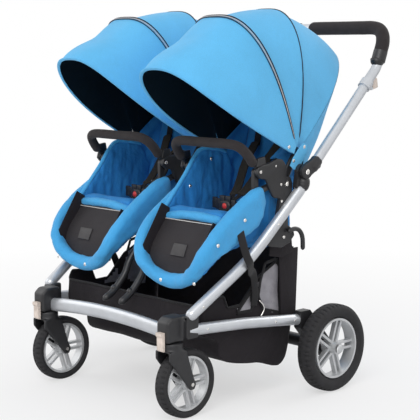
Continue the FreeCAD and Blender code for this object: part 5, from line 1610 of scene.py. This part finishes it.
class BasketOperator(bpy.types.Operator):
    """Sew the shopping basket with its net windows, straps and binding."""

    bl_idname = "stroller.basket"
    bl_label = "Basket"

    HALF = 0.277
    WRAP = [
        (-0.268, 0.284), (-0.268, 0.214), (-0.210, 0.188), (-0.190, 0.130), (-0.062, 0.102),
        (0.058, 0.102), (0.084, 0.404),
    ]

    def execute(self, context):
        self.make_wrap()
        self.make_sides()
        self.make_straps()
        return {"FINISHED"}

    def make_wrap(self):
        """Front, floor and back in one sagging sheet."""
        run = even_run(smooth_run([(0, *spot) for spot in self.WRAP], 6), 70)

        def place(u, v):
            spot = run[round(v * 70)]
            x = (u - 0.5) * 2 * self.HALF
            middle = math.cos((u - 0.5) * math.pi)
            floor = max(0.0, 1 - abs(spot.y + 0.03) / 0.14) if spot.z < 0.2 else 0.0
            wave = 0.004 * noise.noise(Vector((x * 9, v * 7, 1.0)))
            return Vector((x, spot.y + wave, spot.z + 0.006 * (1 - middle) * floor + wave * 0.6))

        bm = laid_out(48, 70, place, (0, -0.07, 0.24))
        area = sum(face.calc_area() for face in bm.faces)
        wrap = walled(new_piece("basket_wrap", bm, "basket_black"), 0.0020)
        subdivided(wrap)
        settle(
            wrap, "chassis", ["basket"], pair=False
        )
        for name, v in (("front", 0.0), ("back", 1.0)):
            rim = [place(n / 40, v) for n in range(41)]
            binding = new_piece(
                f"basket_binding_{name}", round_tube(rim, 0.0034, 8), "webbing_black"
            )
            settle(binding, "chassis", pair=False)

    def make_sides(self):
        """Each end of the basket: cloth round two net windows."""
        lower = [(y, z) for y, z in self.WRAP]
        bottom = even_run(smooth_run([(0, *spot) for spot in lower], 6), 60)
        crest = [
            (-0.268, 0.284), (-0.256, 0.308), (-0.186, 0.302), (-0.172, 0.268), (-0.124, 0.270),
            (-0.060, 0.335), (0.084, 0.404),
        ]
        top = even_run([Vector((0, *spot)) for spot in crest], 60)
        windows = [
            [
                (-0.032, 0.372), (0.010, 0.380), (0.028, 0.351), (0.028, 0.238), (0.024, 0.229),
                (-0.038, 0.246), (-0.058, 0.285), (-0.050, 0.326)
            ],
            [
                (-0.128, 0.262), (-0.104, 0.285), (-0.086, 0.300), (-0.080, 0.262), (-0.086, 0.250),
                (-0.140, 0.250)
            ],
        ]

        def within(y, z, ring):
            inside = False
            for (ya, za), (yb, zb) in zip(ring, ring[1:] + ring[:1]):
                if (za > z) != (zb > z) and y < ya + (z - za) * (yb - ya) / (zb - za):
                    inside = not inside
            return inside

        ring = [(spot.y, spot.z) for spot in bottom] + [(spot.y, spot.z) for spot in reversed(top)]
        bm = bmesh.new()
        face = bm.faces.new([bm.verts.new((self.HALF, y, z)) for y, z in ring[:-1]])
        for step in range(-26, 8):
            geom = bm.verts[:] + bm.edges[:] + bm.faces[:]
            bmesh.ops.bisect_plane(
                bm, geom=geom, plane_co=(0, step * 0.01 + 0.004, 0), plane_no=(0, 1, 0)
            )
        for step in range(11, 40):
            geom = bm.verts[:] + bm.edges[:] + bm.faces[:]
            bmesh.ops.bisect_plane(
                bm, geom=geom, plane_co=(0, 0, step * 0.01 + 0.003), plane_no=(0, 0, 1)
            )
        bmesh.ops.remove_doubles(bm, verts=bm.verts, dist=0.0008)
        for vert in bm.verts:
            y, z = vert.co.y, vert.co.z
            belly = 0.012 * math.exp(-(((y + 0.06) / 0.1) ** 2) - ((z - 0.19) / 0.06) ** 2)
            vert.co.x += belly + 0.0035 * noise.noise(Vector((y * 16, z * 12, 3.0)))
        for face in bm.faces:
            spot = face.calc_center_median()
            net = any(within(spot.y, spot.z, window) for window in windows)
            face.material_index = 1 if net else 0
        bmesh.ops.recalc_face_normals(bm, faces=bm.faces)
        bm.normal_update()
        if sum(face.normal.x * face.calc_area() for face in bm.faces) < 0:
            bmesh.ops.reverse_faces(bm, faces=bm.faces)
        area = sum(face.calc_area() for face in bm.faces)
        side = new_piece("basket_side_right", bm, "basket_black", "window_net")
        walled(side, 0.0012)
        settle(side, "chassis")
        rim = [Vector((self.HALF + 0.001, spot.y, spot.z)) for spot in top]
        binding = new_piece(
            "basket_side_binding_right", round_tube(rim, 0.0034, 8), "webbing_black"
        )
        settle(binding, "chassis")
        edges = []
        for window in windows:
            loop = [Vector((self.HALF + 0.0045, y, z)) for y, z in window + window[:1]]
            edges.append(ribbon(even_run(loop, 50), 0.009, (0, 0, 1), 0.002))
        frames = new_piece("basket_window_binding_right", joined(edges), "webbing_black")
        settle(frames, "chassis")

    def make_straps(self):
        hang = smooth_run([
            (0.3290, -0.176, 0.480), (0.3440, -0.177, 0.440), (0.3475, -0.168, 0.412),
            (0.3440, -0.152, 0.390), (0.3220, -0.128, 0.368), (0.3020, -0.098, 0.350),
            (0.2890, -0.078, 0.300), (0.2860, -0.080, 0.262),
        ])
        strap = new_piece(
            "basket_strap_right", ribbon(even_run(hang, 60), 0.025, (0, 1, 0.4), 0.002),
            "webbing_black"
        )
        settle(strap, "chassis")
        column = [
            (0.2865, 0.024, 0.214), (0.2865, 0.082, 0.214), (0.2865, 0.090, 0.404),
            (0.2865, 0.012, 0.404),
            (0.2865, 0.018, 0.330),
        ]
        bm = slab(column, (0.004, 0, 0), 0.0012)
        post = new_piece("basket_corner_right", bm, "basket_black")
        settle(post, "chassis")
        hanger = [
            (0.3010, -0.040, 0.395), (0.3010, -0.036, 0.434), (0.3010, 0.030, 0.444),
            (0.3010, 0.048, 0.434), (0.3010, 0.052, 0.398), (0.3010, 0.010, 0.386),
        ]
        sling = new_piece(
            "basket_hanger_right", slab(hanger, (0.004, 0, 0), 0.0012), "basket_black"
        )
        settle(sling, "chassis")
        zip_run = smooth_run(
            [
                (0.2905, -0.064, 0.276), (0.2915, -0.050, 0.262), (0.2915, -0.046, 0.248),
                (0.2905, -0.058, 0.230)
            ]
        )
        pull = new_piece("basket_zip_right", round_tube(even_run(zip_run, 24), 0.0022, 8), "steel")
        settle(pull, "chassis")


class HandleOperator(bpy.types.Operator):
    """Fit the two foam grips, the bar's end ferrules and the wrist loop."""

    bl_idname = "stroller.handle"
    bl_label = "Handle"

    def execute(self, context):
        tilt = math.radians(68.5)
        up = Vector((0, math.cos(tilt), math.sin(tilt)))
        neck = Vector((0, *NECK))

        def at(x, reach):
            return neck + Vector((x, 0, 0)) + up * reach

        x = HANDLE_X
        down = Vector((0, -0.601, -0.799))
        run = smooth_run([
            neck + Vector((x, 0, 0)) + down * 0.022, at(x, -0.004), at(x, 0.016),
            at(x - 0.0008, 0.040), at(x - 0.0090, 0.0630), at(x - 0.0260, 0.0790),
            at(x - 0.0520, 0.0850), at(x - 0.090, 0.085), at(0.20, 0.085), at(0.12, 0.085),
            at(0.064, 0.085),
        ])
        bm = round_tube(even_run(run, 150), 0.0196, 20)
        crumple(bm, 0.0004, 0.05, 2.0)
        grip = subdivided(new_piece("handle_foam_right", bm, "foam_grip"))
        settle(grip, "push_handle")
        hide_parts("handle_grip")
        foot = neck + Vector((x, 0, 0)) + down * 0.020
        steps = [foot + down * step for step in (-0.012, -0.006, 0.0, 0.008, 0.014)]
        ferrule = new_piece("grip_ferrule_right", round_tube(steps, 0.0212, 24), "black_plastic")
        settle(ferrule, "push_handle")
        lever = [(x, 0.322, 0.832), (x, 0.343, 0.838), (x, 0.338, 0.866), (x, 0.318, 0.860)]
        tab = slab([(a - 0.006, b, c) for a, b, c in lever], (0.012, 0, 0), 0.0030)
        settle(
            new_piece("release_tab_right", tab, "trim_white"), "release_ring_right"
        )
        loop = []
        for n in range(25):
            turn = math.tau * n / 24
            loop.append(
                Vector((0.018, BAR[0], BAR[1]))
                + Vector((0, math.cos(turn), math.sin(turn))) * 0.0156
            )

        def strap(turn, share, point):
            return 0.011 * math.cos(turn), 0.0012 * math.sin(turn)

        band = swept(loop[:-1] + [loop[0]], strap, 10, (1, 0, 0), ring=True)
        wrap = new_piece("wrist_band", band, "webbing_black")
        settle(wrap, "push_handle", pair=False)
        return {"FINISHED"}


# ---------------------------------------------------------------- panel and run


OPERATORS = (
    StageOperator,
    FrameOperator,
    WheelsOperator,
    HoodsOperator,
    SeatsOperator,
    HarnessOperator,
    BumpersOperator,
    BasketOperator,
    HandleOperator,
)


class StrollerPanel(bpy.types.Panel):
    """Lists the stroller's settings and pieces."""

    bl_idname = "VIEW3D_PT_stroller"
    bl_label = "Stroller"
    bl_space_type = "VIEW_3D"
    bl_region_type = "UI"
    bl_category = "Stroller"

    def draw(self, context):
        scene = context.scene
        for group in (scene.stroller_colours, scene.stroller_sizes):
            for setting in group.__annotations__:
                self.layout.prop(group, setting)
        for operator in OPERATORS:
            self.layout.operator(operator.bl_idname)


CLASSES = (StrollerColours, StrollerSizes, *OPERATORS, StrollerPanel)


def register():
    for item in CLASSES:
        bpy.utils.register_class(item)
    bpy.types.Scene.stroller_colours = PointerProperty(type=StrollerColours)
    bpy.types.Scene.stroller_sizes = PointerProperty(type=StrollerSizes)


def unregister():
    del bpy.types.Scene.stroller_sizes
    del bpy.types.Scene.stroller_colours
    for item in reversed(CLASSES):
        bpy.utils.unregister_class(item)


def main():
    register()
    make_finishes(bpy.context.scene.stroller_colours)
    for operator in OPERATORS:
        group, name = operator.bl_idname.split(".")
        getattr(getattr(bpy.ops, group), name)()
    bpy.context.view_layer.update()
    boxes = {"cad": CAD_BOX, "visual": [list(corner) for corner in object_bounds()]}
    {key: [list(map(float, c)) for c in box] for key, box in boxes.items()}


if __name__ == "__main__":
    main()
